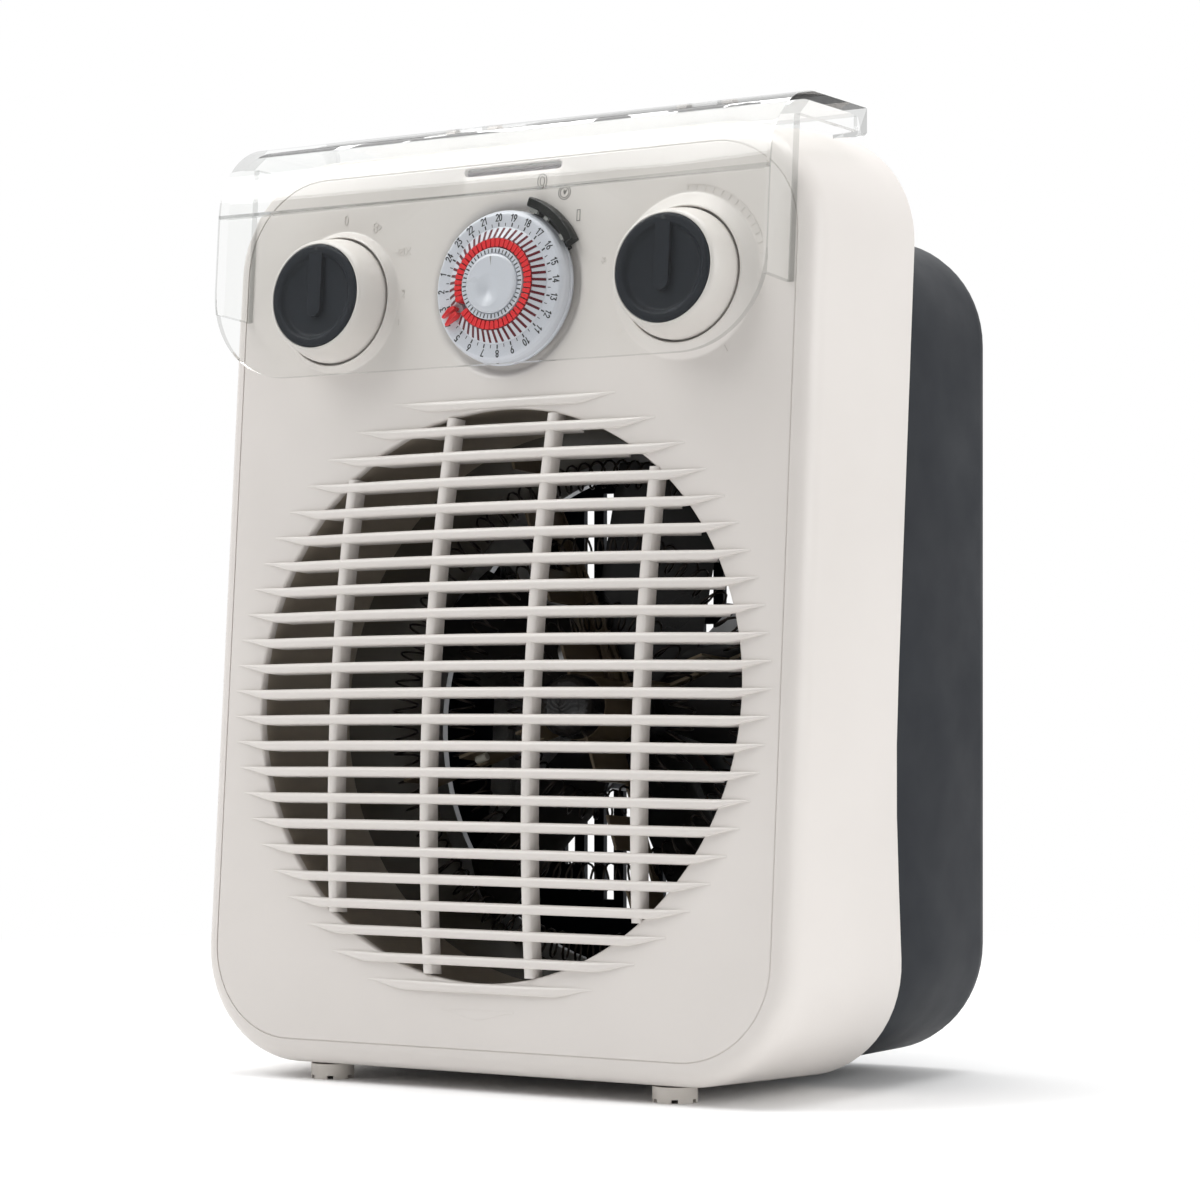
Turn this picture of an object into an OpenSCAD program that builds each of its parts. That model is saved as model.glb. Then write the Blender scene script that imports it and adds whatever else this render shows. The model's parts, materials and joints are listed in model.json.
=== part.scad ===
// Compact free-standing fan heater with a clear flip-up cover over its controls.
// Millimetres. +X right seen from the front, +Y to the rear, +Z up, origin on the floor under the middle.

/* [Shell] */
// Half of the shell's width at its rear edge
shell_half_w = 115; // [114:0.5:117]
// Height of the shell's top at its rear edge
shell_top = 308.6; // [307.6:0.2:309]
// Wall of the moulded shells
wall = 2.4; // [2:0.1:2.6]
// Backward lean of the front face from upright, degrees
face_lean = 4.36; // [4:0.02:4.6]
// Rear face of the housing, measured from the middle
rear_y = 75.5; // [74:0.1:78]
// Height of the dark rear housing's top
housing_top = 280.4; // [276:0.2:282]

/* [Outlet] */
// Height of the middle of the air outlet
outlet_z = 126.4; // [125:0.2:128]
// Radius of the air outlet
outlet_r = 92.1; // [88:0.1:93]
// Number of louvres
louvre_n = 24; // [22:1:24]
// Distance from louvre to louvre along the face
louvre_pitch = 8.525; // [8.4:0.005:8.55]
// Thickness of a louvre
louvre_t = 3.2; // [2:0.1:4]
// Rise of the domed louvre fronts over the face
dome_h = 9.77; // [6:0.01:11]

/* [Controls] */
// Distance of the control axes above the outlet's middle, along the face
ctrl_v = 130.5; // [129:0.1:131]
// Distance of the knobs from the middle
knob_u = 66.7; // [64:0.1:68]
// Radius of a knob's cap
cap_r = 17; // [15:0.1:17.4]
// Radius of the timer disc
dial_r = 25.15; // [24.6:0.05:25.2]
// Number of timer tappets around the disc
tappet_n = 48; // [48:1:48]

/* [Cover] */
// Thickness of the clear cover
cover_t = 2.4; // [2:0.1:2.8]
// Outer face of the cover's front, in front of the panel face
cover_w = 18.2; // [18:0.1:19]
// Top of the closed cover above the floor
cover_top = 312.2; // [312:0.1:313]
// Half of the cover's width
cover_half = 105.5; // [103:0.5:106]

/* [Fan] */
// Number of fan blades
blade_n = 5; // [4:1:6]
// Tip radius of the fan
blade_r = 86; // [80:0.5:88]
// Pitch angle of the blades
blade_pitch = 28; // [22:1:30]

/* [Hidden] */
$fn = 64;
face_y = -64.2;
lean_k = tan(face_lean);
panel_hw = 105.9;
panel_lo = -113.2;
panel_hi = 172.4;
panel_r = 30.8;
panel_t = 3;
dome_r = 103.15;
rib_t = 3.5;
rib_us = [-58.1, -19.4, 19.4, 58.1];
duct_r = 92.4;
duct_t = 1.8;
duct_front_end = -50;
duct_end = -98;
shell_bottom = 3.2;
housing_hw = 111.5;
housing_lo = 6.3;
foot_x = [66, 50];
foot_y = [-59.6, 50];
foot_r = 7.1;
post_x = [88, 88.2];
post_z = [34, 256];
post_r = 4.1;
hinge_y = -3.4;
hinge_z = 309.8;
hinge_r = 2.4;
pin_r = 0.8;
hinge_us = [-46, 46];
dial_v = 131;
dish_r = 28;
dish_in = 26.2;
dish_deep = 2.4;
dial_zero = 92;
tappet_step = 360 / tappet_n;
set_tappets = [15, 16];
boss_hole = 21.3;
gear_m = 0.8;
dial_teeth = 40;
pinion_teeth = 12;
gear_d = gear_m * (dial_teeth + pinion_teeth) / 2;
fan_mid = -88;
cream = [0.86, 0.84, 0.80];
slate = [0.22, 0.24, 0.26];
steel = [0.72, 0.73, 0.75];
black = [0.12, 0.11, 0.10];

// Sub-part to build, or all of them

// ---------- frames and outlines ----------

// Frame of the leaning front face: x across, y up the face, z outwards
module face() {
  translate([0, face_y, outlet_z])
    rotate([90 - face_lean, 0, 0])
      children();
}

// Axis of a knob, or of the timer where u is 0
module control(u) {
  face()
    translate([u, u == 0 ? dial_v : ctrl_v, 0])
      children();
}

module slab(lo, hi) {
  translate(lo)
    cube(hi - lo);
}

module disc(r, lo, hi) {
  translate([0, 0, lo])
    cylinder(r = r, h = hi - lo);
}

module tube(r_out, r_in, lo, hi) {
  difference() {
    disc(r_out, lo, hi);
    disc(r_in, lo - 1, hi + 1);
  }
}

// Rod along the row's Y axis
module y_rod(r, x, z, lo, hi) {
  translate([x, lo, z])
    rotate([-90, 0, 0])
      cylinder(r = r, h = hi - lo);
}

// Rod along the row's X axis
module x_rod(r, y, z, lo, hi) {
  translate([lo, y, z])
    rotate([0, 90, 0])
      cylinder(r = r, h = hi - lo);
}

module round_rect(hw, lo, hi, r) {
  translate([-hw, lo + r])
    square([2 * hw, hi - lo - 2 * r]);
  translate([-hw + r, lo])
    square([2 * (hw - r), hi - lo]);
  for (s = [-1, 1])
    for (y = [lo + r, hi - r])
      translate([s * (hw - r), y])
        circle(r = r);
}

module sector(r_in, r_out, a0, a1) {
  n = 12;
  polygon(concat(
    [for (i = [0:n]) r_out * [cos(a0 + (a1 - a0) * i / n), sin(a0 + (a1 - a0) * i / n)]],
    [for (i = [n:-1:0]) r_in * [cos(a0 + (a1 - a0) * i / n), sin(a0 + (a1 - a0) * i / n)]]));
}

// ---------- lofted shells ----------

corner_n = 15;
side_n = 10;
top_n = 4;

function lerp(p, q, n) = [for (i = [0:n - 1]) p + (q - p) * i / n];
function bend(cx, cz, r, a0) =
  [for (i = [0:corner_n - 1]) [cx + r * cos(a0 + 90 * i / corner_n), cz + r * sin(a0 + 90 * i / corner_n)]];
function outline(hw, lo, hi, r) = concat(
  lerp([hw, lo + r], [hw, hi - r], side_n), bend(hw - r, hi - r, r, 0),
  lerp([hw - r, hi], [-hw + r, hi], top_n), bend(-hw + r, hi - r, r, 90),
  lerp([-hw, hi - r], [-hw, lo + r], side_n), bend(-hw + r, lo + r, r, 180),
  lerp([-hw + r, lo], [hw - r, lo], top_n), bend(hw - r, lo + r, r, 270));

// Seam between shell and housing, seen from the side
function seam_y(z) = -7 + 0.083 * sqrt(pow(z - 100, 2) + 400);
function front_y(z, depth) = face_y + lean_k * (z - outlet_z) + depth / cos(face_lean);
// Ring at a depth behind the face, or a share of the way from 9 mm deep to the seam
function front_ring(hw, lo, hi, r, depth) =
  [for (p = outline(hw, lo, hi, r)) [p[0], front_y(p[1], depth), p[1]]];
function seam_ring(hw, lo, hi, r, k) =
  [for (p = outline(hw, lo, hi, r)) [p[0], front_y(p[1], 9) * (1 - k) + seam_y(p[1]) * k, p[1]]];
function flat_ring(hw, lo, hi, r, y) = [for (p = outline(hw, lo, hi, r)) [p[0], y, p[1]]];
function flatten(rings) = [for (ring = rings) for (p = ring) p];

function band_faces(n, a, b) = [for (i = [0:n - 1]) each [
  [a * n + i, a * n + (i + 1) % n, b * n + (i + 1) % n],
  [a * n + i, b * n + (i + 1) % n, b * n + i]]];

// Closed sleeve through all the rings and back to the first
module sleeve(rings) {
  n = len(rings[0]);
  m = len(rings);
  polyhedron(points = flatten(rings), faces = [for (k = [0:m - 1]) each band_faces(n, k, (k + 1) % m)]);
}

// Cup: rings from the outer back, round the mouth, to the inner back, each end closed by a fan
module cup(rings) {
  n = len(rings[0]);
  m = len(rings);
  ends = [[0, rings[0][0][1], 140], [0, rings[m - 1][0][1], 140]];
  polyhedron(
    points = concat(flatten(rings), ends),
    faces = concat(
      [for (k = [0:m - 2]) each band_faces(n, k + 1, k)],
      [for (i = [0:n - 1]) [n * m, i, (i + 1) % n]],
      [for (i = [0:n - 1]) [n * m + 1, n * (m - 1) + (i + 1) % n, n * (m - 1) + i]]));
}

rim_hw = 106.1;
rim_lo = 13.3;
rim_hi = 298.5;
fillet_w = 6.4;
fillet_d = 9;
ease = [for (i = [0:5]) 15 + 75 * i / 5];
shell_rings = concat(
  [front_ring(rim_hw, rim_lo, rim_hi, 31, 0)],
  [for (a = ease) front_ring(
    rim_hw + fillet_w * sin(a), rim_lo - 8 * sin(a), rim_hi + 7.2 * sin(a),
    31 + 6.5 * sin(a), fillet_d * (1 - cos(a)))],
  [seam_ring(shell_half_w - 0.7, shell_bottom + 1, shell_top - 1.2, 38.8, 0.55),
   seam_ring(shell_half_w, shell_bottom, shell_top, 39.3, 1),
   seam_ring(shell_half_w - wall, shell_bottom + wall, shell_top - wall, 37.2, 1),
   seam_ring(shell_half_w - 0.7 - wall, shell_bottom + 1 + wall, shell_top - 1.2 - wall, 36.4, 0.55),
   front_ring(110.1, 7.9, 303.2, 35.2, 9),
   front_ring(109.4, 8.9, 302.4, 34.4, 6),
   front_ring(103.2, 16, 295.8, 28, 6),
   front_ring(103.2, 16, 295.8, 28, 3.1),
   front_ring(rim_hw, rim_lo, rim_hi, 31, 3.1)]);

// ---------- fixed outer parts ----------

module front_shell() {
  color(cream) difference() {
    union() {
      sleeve(shell_rings);
      shell_back();
      hinge_lugs();
    }
    x_rod(hinge_r + 0.5, hinge_y, hinge_z, -52.4, -39.6);
    x_rod(hinge_r + 0.5, hinge_y, hinge_z, 39.6, 52.4);
    for (s = [-1, 1])
      translate([s * foot_x[0], foot_y[0], -1])
        cylinder(r = 3, h = 14);
    x_rod(pin_r, hinge_y, hinge_z, -57, -35);
    x_rod(pin_r, hinge_y, hinge_z, 35, 57);
  }
}

// Upper back of the shell, over the top of the housing
module shell_back() {
  back_lean = atan(0.083);
  translate([0, seam_y(260) - 0.1, 260])
    rotate([90 - back_lean, 0, 0])
      linear_extrude(wall)
        translate([0, -260])
          difference() {
            polygon([for (p = outline(shell_half_w - 1.2, 200, shell_top - 1.2, 38)) p]);
            polygon([for (p = outline(housing_hw + 0.3, 100, housing_top + 0.4, 37.3)) p]);
            translate([-120, 190])
              square([240, 56]);
          }
}

module hinge_lugs() {
  for (u = hinge_us)
    for (s = [-1, 1])
      translate([u + s * 8.6, 0, 0]) {
        x_rod(hinge_r, hinge_y, hinge_z, -2, 2);
        slab([-2, hinge_y - hinge_r, hinge_z - 3.4], [2, hinge_y + hinge_r, hinge_z]);
      }
}

// Raised ring with a sloping outside round a knob
module knob_boss(u, base_r, high) {
  translate([u, ctrl_v, 0])
    rotate_extrude($fn = 96)
      polygon([[boss_hole, -0.5], [base_r, -0.5], [base_r, 0], [boss_hole + 0.5, high], [boss_hole, high]]);
}

module front_panel() {
  color(cream) difference() {
    union() {
      face() {
        translate([0, 0, -panel_t])
          linear_extrude(panel_t)
            round_rect(panel_hw, panel_lo, panel_hi, panel_r);
        translate([0, dial_v, 0])
          disc(dish_r + 2.5, -5.2, -panel_t + 0.1);
        knob_boss(-knob_u, 23.6, 3.2);
        knob_boss(knob_u, 26.2, 3.6);
      }
      for (s = [-1, 1])
        for (i = [0, 1])
          y_rod(post_r, s * post_x[i], post_z[i], front_y(post_z[i], 2.6), 55);
    }
    face() {
      disc(outlet_r, -panel_t - 1, 1);
      translate([0, dial_v, 0]) {
        rotate_extrude($fn = 96)
          polygon([[0, -dish_deep], [dish_in, -dish_deep], [dish_r, 0], [dish_r, 1], [0, 1]]);
        disc(9.1, -7, 1);
      }
      for (s = [-1, 1])
        translate([s * knob_u, ctrl_v, 0])
          disc(3.4, -panel_t - 1, 1);
      slab([-18.85, 168.8, -panel_t - 1], [18.85, 171.6, 1]);
    }
    for (s = [-1, 1])
      for (i = [0, 1])
        y_rod(1.95, s * post_x[i], post_z[i], 36, 56);
  }
}

module dome(top, r, back) {
  n = 14;
  rotate_extrude($fn = 96)
    polygon(concat(
      [[0, back], [r, back]],
      [for (i = [n:-1:0]) [r * i / n, top * (1 - pow(i / n, 2))]]));
}

// Everything between the domed front and a parallel back, kept inside the outlet behind the face
module grille_band(drop, depth) {
  difference() {
    intersection() {
      union() {
        translate([0, 0, 0.04])
          dome(dome_h - drop - 0.04, dome_r, -0.02);
        disc(outlet_r - 0.03, -depth, 0.06);
      }
      disc(dome_r, -depth - 1, dome_h + 1);
    }
    translate([0, 0, -depth])
      dome(dome_h, dome_r, -40);
  }
}

module outlet_grille() {
  color(cream) face() {
    intersection() {
      grille_band(0, 8);
      for (i = [0:louvre_n - 1])
        slab([-110, 95.5 - i * louvre_pitch - louvre_t, -12], [110, 95.5 - i * louvre_pitch, 12]);
    }
    intersection() {
      grille_band(0.84, 7);
      difference() {
        for (u = rib_us)
          slab([u - rib_t / 2, -outlet_r, -12], [u + rib_t / 2, outlet_r, 12]);
        tube(120, outlet_r - 0.03, -13, 13);
      }
    }
  }
}

// Angle, inner and outer radius of the moulded marks round the left knob
function_marks = [[90, 26, 28.7], [62, 26.2, 29.2], [32, 27, 30.2], [3.5, 24.2, 26.4], [-18, 24.1, 25.7]];
thermostat_tick = 12;

// Raised marks moulded on the face: positions of both knobs and of the timer lever
module scale_marks() {
  mark_h = 0.5;
  color(cream) {
    control(-knob_u)
      for (m = function_marks)
        rotate([0, 0, m[0]])
          slab([m[1], -0.6, 0], [m[2], 0.6, mark_h]);
    control(knob_u)
      for (i = [0:10])
        rotate([0, 0, 90 - thermostat_tick * i])
          slab([26.5, -0.3 - 0.05 * i, 0], [28.8, 0.3 + 0.05 * i, mark_h]);
    control(0)
      for (a = [71, 55.5, 40])
        rotate([0, 0, a])
          slab([34, -0.5, 0], [37, 0.5, mark_h]);
  }
}

housing_rings = concat(
  [for (a = [90, 65, 40, 20, 0]) flat_ring(
    99.8 + 10 * cos(a), housing_lo + 10 - 10 * cos(a), housing_top - 10 + 10 * cos(a),
    30 + 7 * cos(a), rear_y - 10 + 10 * sin(a))],
  [flat_ring(housing_hw, housing_lo, housing_top, 37, 9),
   flat_ring(housing_hw, housing_lo, housing_top, 37, -16),
   flat_ring(housing_hw - wall, housing_lo + wall, housing_top - wall, 34.8, -16),
   flat_ring(housing_hw - wall, housing_lo + wall, housing_top - wall, 34.8, 9)],
  [for (a = [0, 40, 90]) flat_ring(
    99.8 + 7.6 * cos(a), housing_lo + 10 - 7.6 * cos(a), housing_top - 10 + 7.6 * cos(a),
    29 + 5.8 * cos(a), rear_y - 10 + 7.6 * sin(a))]);

slot_w = 4.2;
slot_pitch = 8.3;
intake_r = 84;

module rear_housing() {
  gland = gland_pos;
  color(slate) difference() {
    union() {
      cup(housing_rings);
      for (s = [-1, 1])
        for (i = [0, 1])
          y_rod(6.5, s * post_x[i], post_z[i], 55.2, rear_y - 1.6);
    }
    for (i = [-9:9]) {
      reach = sqrt(pow(intake_r, 2) - pow(i * slot_pitch, 2));
      for (t = [-1:1]) {
        lo = max(-reach, t * 56 - 25.5);
        hi = min(reach, t * 56 + 25.5);
        if (hi - lo > 6)
          slab([i * slot_pitch - slot_w / 2, rear_y - 6, outlet_z + lo],
               [i * slot_pitch + slot_w / 2, rear_y + 1, outlet_z + hi]);
      }
    }
    for (s = [-1, 1])
      for (i = [0, 1]) {
        y_rod(2.2, s * post_x[i], post_z[i], 50, 70);
        y_rod(4.5, s * post_x[i], post_z[i], 63, rear_y + 1);
      }
    y_rod(7, gland[0], gland[1], 60, rear_y + 1);
    for (s = [-1, 1])
      translate([s * foot_x[1], foot_y[1], -1])
        cylinder(r = 3, h = 14);
  }
}

gland_pos = [-62, 27];

module cord_gland() {
  color(black) difference() {
    union() {
      y_rod(6.95, gland_pos[0], gland_pos[1], 68, rear_y + 0.01);
      y_rod(9, gland_pos[0], gland_pos[1], rear_y - wall - 2.6, rear_y - wall - 0.05);
    }
    y_rod(3.7, gland_pos[0], gland_pos[1], 60, rear_y + 2);
  }
}

// Foot with a peg, and notches round its lower rim
module foot(h) {
  difference() {
    union() {
      cylinder(r = foot_r, h = h);
      cylinder(r = 2.96, h = h + 4.5);
    }
    for (a = [0:60:150])
      rotate([0, 0, a])
        slab([-9, -1, -1], [9, 1, 1.2]);
  }
}

module front_feet() {
  color(cream)
    for (s = [-1, 1])
      translate([s * foot_x[0], foot_y[0], 0])
        foot(5);
}

module rear_feet() {
  color(black)
    for (s = [-1, 1])
      translate([s * foot_x[1], foot_y[1], 0])
        foot(housing_lo - 0.05);
}

module rear_screws() {
  color(steel)
    for (s = [-1, 1])
      for (i = [0, 1])
        difference() {
          union() {
            y_rod(4, s * post_x[i], post_z[i], 63.02, 66);
            y_rod(1.9, s * post_x[i], post_z[i], 38, 63.1);
          }
          translate([s * post_x[i], 65, post_z[i]])
            for (a = [0, 90])
              rotate([0, a, 0])
                slab([-2.6, 0, -0.5], [2.6, 2, 0.5]);
        }
}

// ---------- air path ----------

screw_a = [45, 135, 225, 315];

module air_duct() {
  color(black) face()
    difference() {
      union() {
        tube(duct_r + duct_t, duct_r, duct_front_end, -panel_t - 0.05);
        tube(101, duct_r, -panel_t - 1.6, -panel_t - 0.05);
      }
      for (a = screw_a)
        rotate([0, 0, a])
          translate([97.5, 0, 0])
            disc(1.6, -9, 0);
      translate([0, dial_v, 0])
        disc(dish_r + 3, -9, 0);
    }
}

// Rear half of the air path, with a collar round the end of the duct
module fan_shroud() {
  color(black) face() {
    tube(duct_r + duct_t, duct_r, duct_end, duct_front_end - 0.05);
    tube(duct_r + duct_t + 2, duct_r + duct_t + 0.05, duct_front_end - 6, duct_front_end + 6);
    tube(duct_r + duct_t + 0.1, duct_r + 1, duct_front_end - 6, duct_front_end - 0.05);
  }
}

module duct_screws() {
  color(steel) face()
    for (a = screw_a)
      rotate([0, 0, a])
        translate([97.5, 0, 0]) {
          disc(3, -panel_t - 3.6, -panel_t - 1.62);
          disc(1.55, -panel_t - 1.7, -panel_t - 0.06);
        }
}

ribbon_rs = [32, 56, 80];
ribbon_ns = [20, 34, 48];
ribbon_amp = 5;
ribbon_lo = -70;
ribbon_hi = -62;
board_hi = -52;

module element_boards() {
  color([0.62, 0.56, 0.44]) face() {
    tube(11, 9.6, ribbon_lo - 4, board_hi);
    for (a = [0:90:270])
      rotate([0, 0, a + 20])
        difference() {
          slab([10.5, -0.5, ribbon_lo - 4], [duct_r - 0.05, 0.5, board_hi]);
          for (r = ribbon_rs)
            slab([r - ribbon_amp - 1, -1, ribbon_lo], [r + ribbon_amp + 1, 1, board_hi + 1]);
        }
  }
}

// Rounded insulator on the element's axis
module element_hub() {
  color(black) face()
    rotate_extrude()
      polygon([[0, ribbon_lo - 4], [9.55, ribbon_lo - 4], [9.55, board_hi + 0.1], [10.8, board_hi + 0.1],
               [10.8, board_hi + 4], [10.2, board_hi + 7.4], [8, board_hi + 9.8], [4.4, board_hi + 10.8],
               [0, board_hi + 11]]);
}

function wave(r, n, d) =
  [for (i = [0:6 * n - 1]) let (a = i * 60 / n) (r + d + ribbon_amp * sin(n * a)) * [cos(a), sin(a)]];

module heating_ribbons() {
  color([0.35, 0.33, 0.32]) face()
    for (i = [0:2])
      translate([0, 0, ribbon_lo])
        linear_extrude(ribbon_hi - ribbon_lo)
          difference() {
            polygon(wave(ribbon_rs[i], ribbon_ns[i], 0.3));
            polygon(wave(ribbon_rs[i], ribbon_ns[i], -0.3));
          }
}

module thermal_cutout() {
  color(steel) face()
    rotate([0, 0, 110])
      translate([21, 0, ribbon_lo + 5]) {
        rotate([90, 0, 0])
          disc(5.5, -6.5, -0.55);
        slab([-1.5, 0.5, -6], [1.5, 3, -3]);
      }
}

module thermal_fuse() {
  color([0.8, 0.78, 0.7]) face()
    rotate([0, 0, 200])
      translate([0, 0, board_hi - 5])
        rotate([0, 90, 0])
          translate([0, 1.95, 0])
            disc(1.4, 42, 46.5);
}

module motor_spider() {
  color(steel) face()
    difference() {
      union() {
        tube(duct_r + duct_t, duct_r - 6, duct_end - 3, duct_end - 0.05);
        disc(22, duct_end - 3, duct_end - 0.05);
        for (a = [45:90:315])
          rotate([0, 0, a])
            slab([18, -5, duct_end - 3], [duct_r - 3, 5, duct_end - 0.05]);
      }
      disc(7, duct_end - 5, duct_end + 1);
      for (s = [-1, 1])
        translate([0, s * 18, 0])
          disc(1.6, duct_end - 5, duct_end + 1);
    }
}

stator_lo = -126;
stator_hi = -108;

module motor_stator() {
  color([0.5, 0.52, 0.54]) face()
    difference() {
      slab([-27, -24, stator_lo], [34, 24, stator_hi]);
      disc(13.5, stator_lo - 1, stator_hi + 1);
      slab([17, -12, stator_lo - 1], [25, 12, stator_hi + 1]);
      for (s = [-1, 1])
        translate([0, s * 18, 0])
          disc(1.6, stator_lo - 1, stator_hi + 1);
    }
}

module motor_coil() {
  color([0.65, 0.3, 0.12]) face()
    difference() {
      slab([17.1, -11.9, stator_lo - 5], [42, 11.9, stator_hi + 5]);
      slab([24.9, -13, stator_lo - 0.05], [34.1, 13, stator_hi + 0.05]);
    }
}

module motor_bridges() {
  color(steel) face()
    for (lo = [duct_end - 6, stator_lo - 3])
      difference() {
        union() {
          slab([-6, -22, lo], [6, 22, lo + 2.9]);
          disc(9, lo, lo + 2.9);
        }
        disc(4.5, lo - 1, lo + 4);
        for (s = [-1, 1])
          translate([0, s * 18, 0])
            disc(1.6, lo - 1, lo + 4);
      }
}

module motor_bushings() {
  color([0.72, 0.5, 0.25]) face()
    for (lo = [duct_end - 6, stator_lo - 3])
      tube(4.48, 2.55, lo, lo + 2.9);
}

module motor_screws() {
  color(steel) face()
    for (s = [-1, 1])
      translate([0, s * 18, 0]) {
        disc(1.55, stator_lo - 5, duct_end + 0.1);
        disc(3, duct_end, duct_end + 2);
        difference() {
          tube(3, 1.6, stator_lo - 5, stator_lo - 3.02);
        }
        tube(3, 1.6, stator_hi + 0.02, duct_end - 6.02);
      }
}

// ---------- fan body ----------

blade_h = 8;

module fan_rotor() {
  color(black) face()
    difference() {
      union() {
        disc(13, fan_mid - blade_h, fan_mid + blade_h);
        rotate_extrude()
          polygon([[0, fan_mid + 7], [13, fan_mid + 7], [12.4, fan_mid + 9], [9, fan_mid + 10.2],
                   [0, fan_mid + 10.6]]);
        for (i = [0:blade_n - 1])
          rotate([0, 0, i * 360 / blade_n + 10])
            intersection() {
              translate([0, 0, fan_mid])
                rotate([blade_pitch, 0, 0])
                  slab([10, -21, -0.9], [95, 21, 0.9]);
              tube(blade_r, 12, fan_mid - blade_h, fan_mid + blade_h);
              translate([0, 0, fan_mid - 12])
                linear_extrude(24)
                  sector(8, 95, -31, 31);
            }
      }
      disc(2.5, fan_mid - 11, fan_mid + 6);
    }
}

module motor_shaft() {
  color(steel) face()
    disc(2.5, stator_lo - 6.5, fan_mid + 5.95);
}

module motor_rotor() {
  color([0.6, 0.6, 0.62]) face()
    tube(13, 2.5, stator_lo + 1, stator_hi - 1);
}

// ---------- switch and thermostat ----------

module switch_body() {
  color([0.16, 0.16, 0.17]) control(-knob_u)
    difference() {
      slab([-17, -17, -28], [17, 17, -panel_t - 0.05]);
      slab([-14, -14, -26], [14, 14, -panel_t - 3]);
      disc(3.05, -panel_t - 4, 0);
      for (u = [-9, -3, 3, 9])
        slab([u - 1, -3.2, -30], [u + 1, 3.2, -25]);
    }
}

module switch_terminals() {
  color([0.8, 0.65, 0.3]) control(-knob_u)
    for (u = [-9, -3, 3, 9])
      slab([u - 0.4, -3.15, -35], [u + 0.4, 3.15, -25]);
}

module function_spindle() {
  color(steel) control(-knob_u)
    disc(3, -24, 11);
}

module function_cam() {
  color([0.85, 0.85, 0.82]) control(-knob_u)
    difference() {
      union() {
        disc(8, -20, -10);
        for (a = [0, 120, 240])
          rotate([0, 0, a])
            slab([0, -2, -20], [11.5, 2, -15]);
      }
      disc(3, -21, -9);
    }
}

module thermostat_body() {
  color([0.75, 0.72, 0.66]) control(knob_u)
    difference() {
      union() {
        slab([-13, -18, -10], [13, 18, -panel_t - 0.05]);
        slab([-8, 10, -26], [8, 18, -9]);
      }
      disc(3.05, -12, 0);
      slab([-6.1, 9, -22.1], [6.1, 14, -20.9]);
    }
}

module thermostat_bimetal() {
  color([0.62, 0.55, 0.5]) control(knob_u)
    slab([-6, -16, -22], [6, 13.9, -21]);
}

module thermostat_spindle() {
  color(steel) control(knob_u)
    disc(3, -20.6, 11);
}

// Conical collar, hollow behind, with a socket for the spindle and a lip round the cap
module knob_collar() {
  difference() {
    union() {
      difference() {
        rotate_extrude($fn = 96)
          polygon([[0, 1], [20.5, 1], [20.7, 4.5], [18.9, 12.4], [18.4, 13.6], [17.7, 14.2],
                   [cap_r + 0.05, 14.3], [cap_r + 0.05, 12.4], [0, 12.4]]);
        rotate_extrude()
          polygon([[0, 0.9], [19, 0.9], [19, 4.5], [17, 10.4], [0, 10.4]]);
      }
      disc(6, 1.2, 11);
    }
    disc(3, 0, 11.02);
  }
}

// Dark cap with a dished face, a broad grip bar and a pointer at the rim
module knob_cap() {
  difference() {
    rotate_extrude($fn = 96)
      polygon([[0, 12.42], [cap_r, 12.42], [cap_r, 14.3], [cap_r - 0.5, 14.8], [15.6, 14.8],
               [14.9, 13.7], [0, 13.3]]);
    translate([0, 15.6, 14.3])
      linear_extrude(2)
        polygon([[-1, -0.6], [1, -0.6], [0, 0.8]]);
  }
  intersection() {
    disc(15.4, 13, 14.9);
    slab([-4.6, -16, 13], [4.6, 14, 14.9]);
  }
}

module function_collar() {
  color(cream) control(-knob_u) knob_collar();
}

module function_cap() {
  color(slate) control(-knob_u) knob_cap();
}

module thermostat_collar() {
  color(cream) control(knob_u) knob_collar();
}

module thermostat_cap() {
  color(slate) control(knob_u) knob_cap();
}

// ---------- timer ----------

module timer_case() {
  color([0.86, 0.86, 0.84]) control(0)
    difference() {
      union() {
        slab([-30, -30, -32], [30, 30, -5.3]);
        disc(9, -6, -0.95);
      }
      slab([-27.5, -27.5, -29.5], [27.5, 27.5, -8]);
      disc(3.56, -9, 0);
      translate([0, -gear_d, 0])
        disc(2.06, -33, -29);
    }
}

module timer_motor() {
  color(steel) control(0)
    translate([0, -gear_d + 6, 0])
      difference() {
        disc(17, -46, -32.05);
        translate([0, -6, 0])
          disc(2.06, -44, -32);
      }
}

module timer_microswitch() {
  color([0.14, 0.14, 0.15]) control(0) {
    slab([30.05, -10, -28], [40, 10, -18]);
    for (v = [-7, 0, 7])
      slab([33, v - 2, -33], [33.8, v + 2, -27.9]);
  }
}

// Flat-flanked teeth, slimmer than the spaces between them
module gear(teeth, lo, hi) {
  pr = gear_m * teeth / 2;
  half = gear_m * PI * 0.2;
  disc(pr - 1.2 * gear_m, lo, hi);
  translate([0, 0, lo])
    linear_extrude(hi - lo)
      for (i = [0:teeth - 1])
        rotate(i * 360 / teeth)
          polygon([[pr - 1.6 * gear_m, -half * 1.5], [pr, -half], [pr + 0.8 * gear_m, -half * 0.5],
                   [pr + 0.8 * gear_m, half * 0.5], [pr, half], [pr - 1.6 * gear_m, half * 1.5]]);
}

module dial_gear() {
  color([0.9, 0.88, 0.8]) control(0) {
    difference() {
      rotate([0, 0, -90])
        gear(dial_teeth, -16, -12);
      disc(3.5, -17, -11);
    }
    disc(3.5, -24, -0.62);
  }
}

module timer_pinion() {
  color([0.75, 0.6, 0.3]) control(0)
    translate([0, -gear_d, 0]) {
      rotate([0, 0, 90 + 180 / pinion_teeth])
        gear(pinion_teeth, -17, -11);
      disc(2, -43, -16.9);
    }
}

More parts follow.
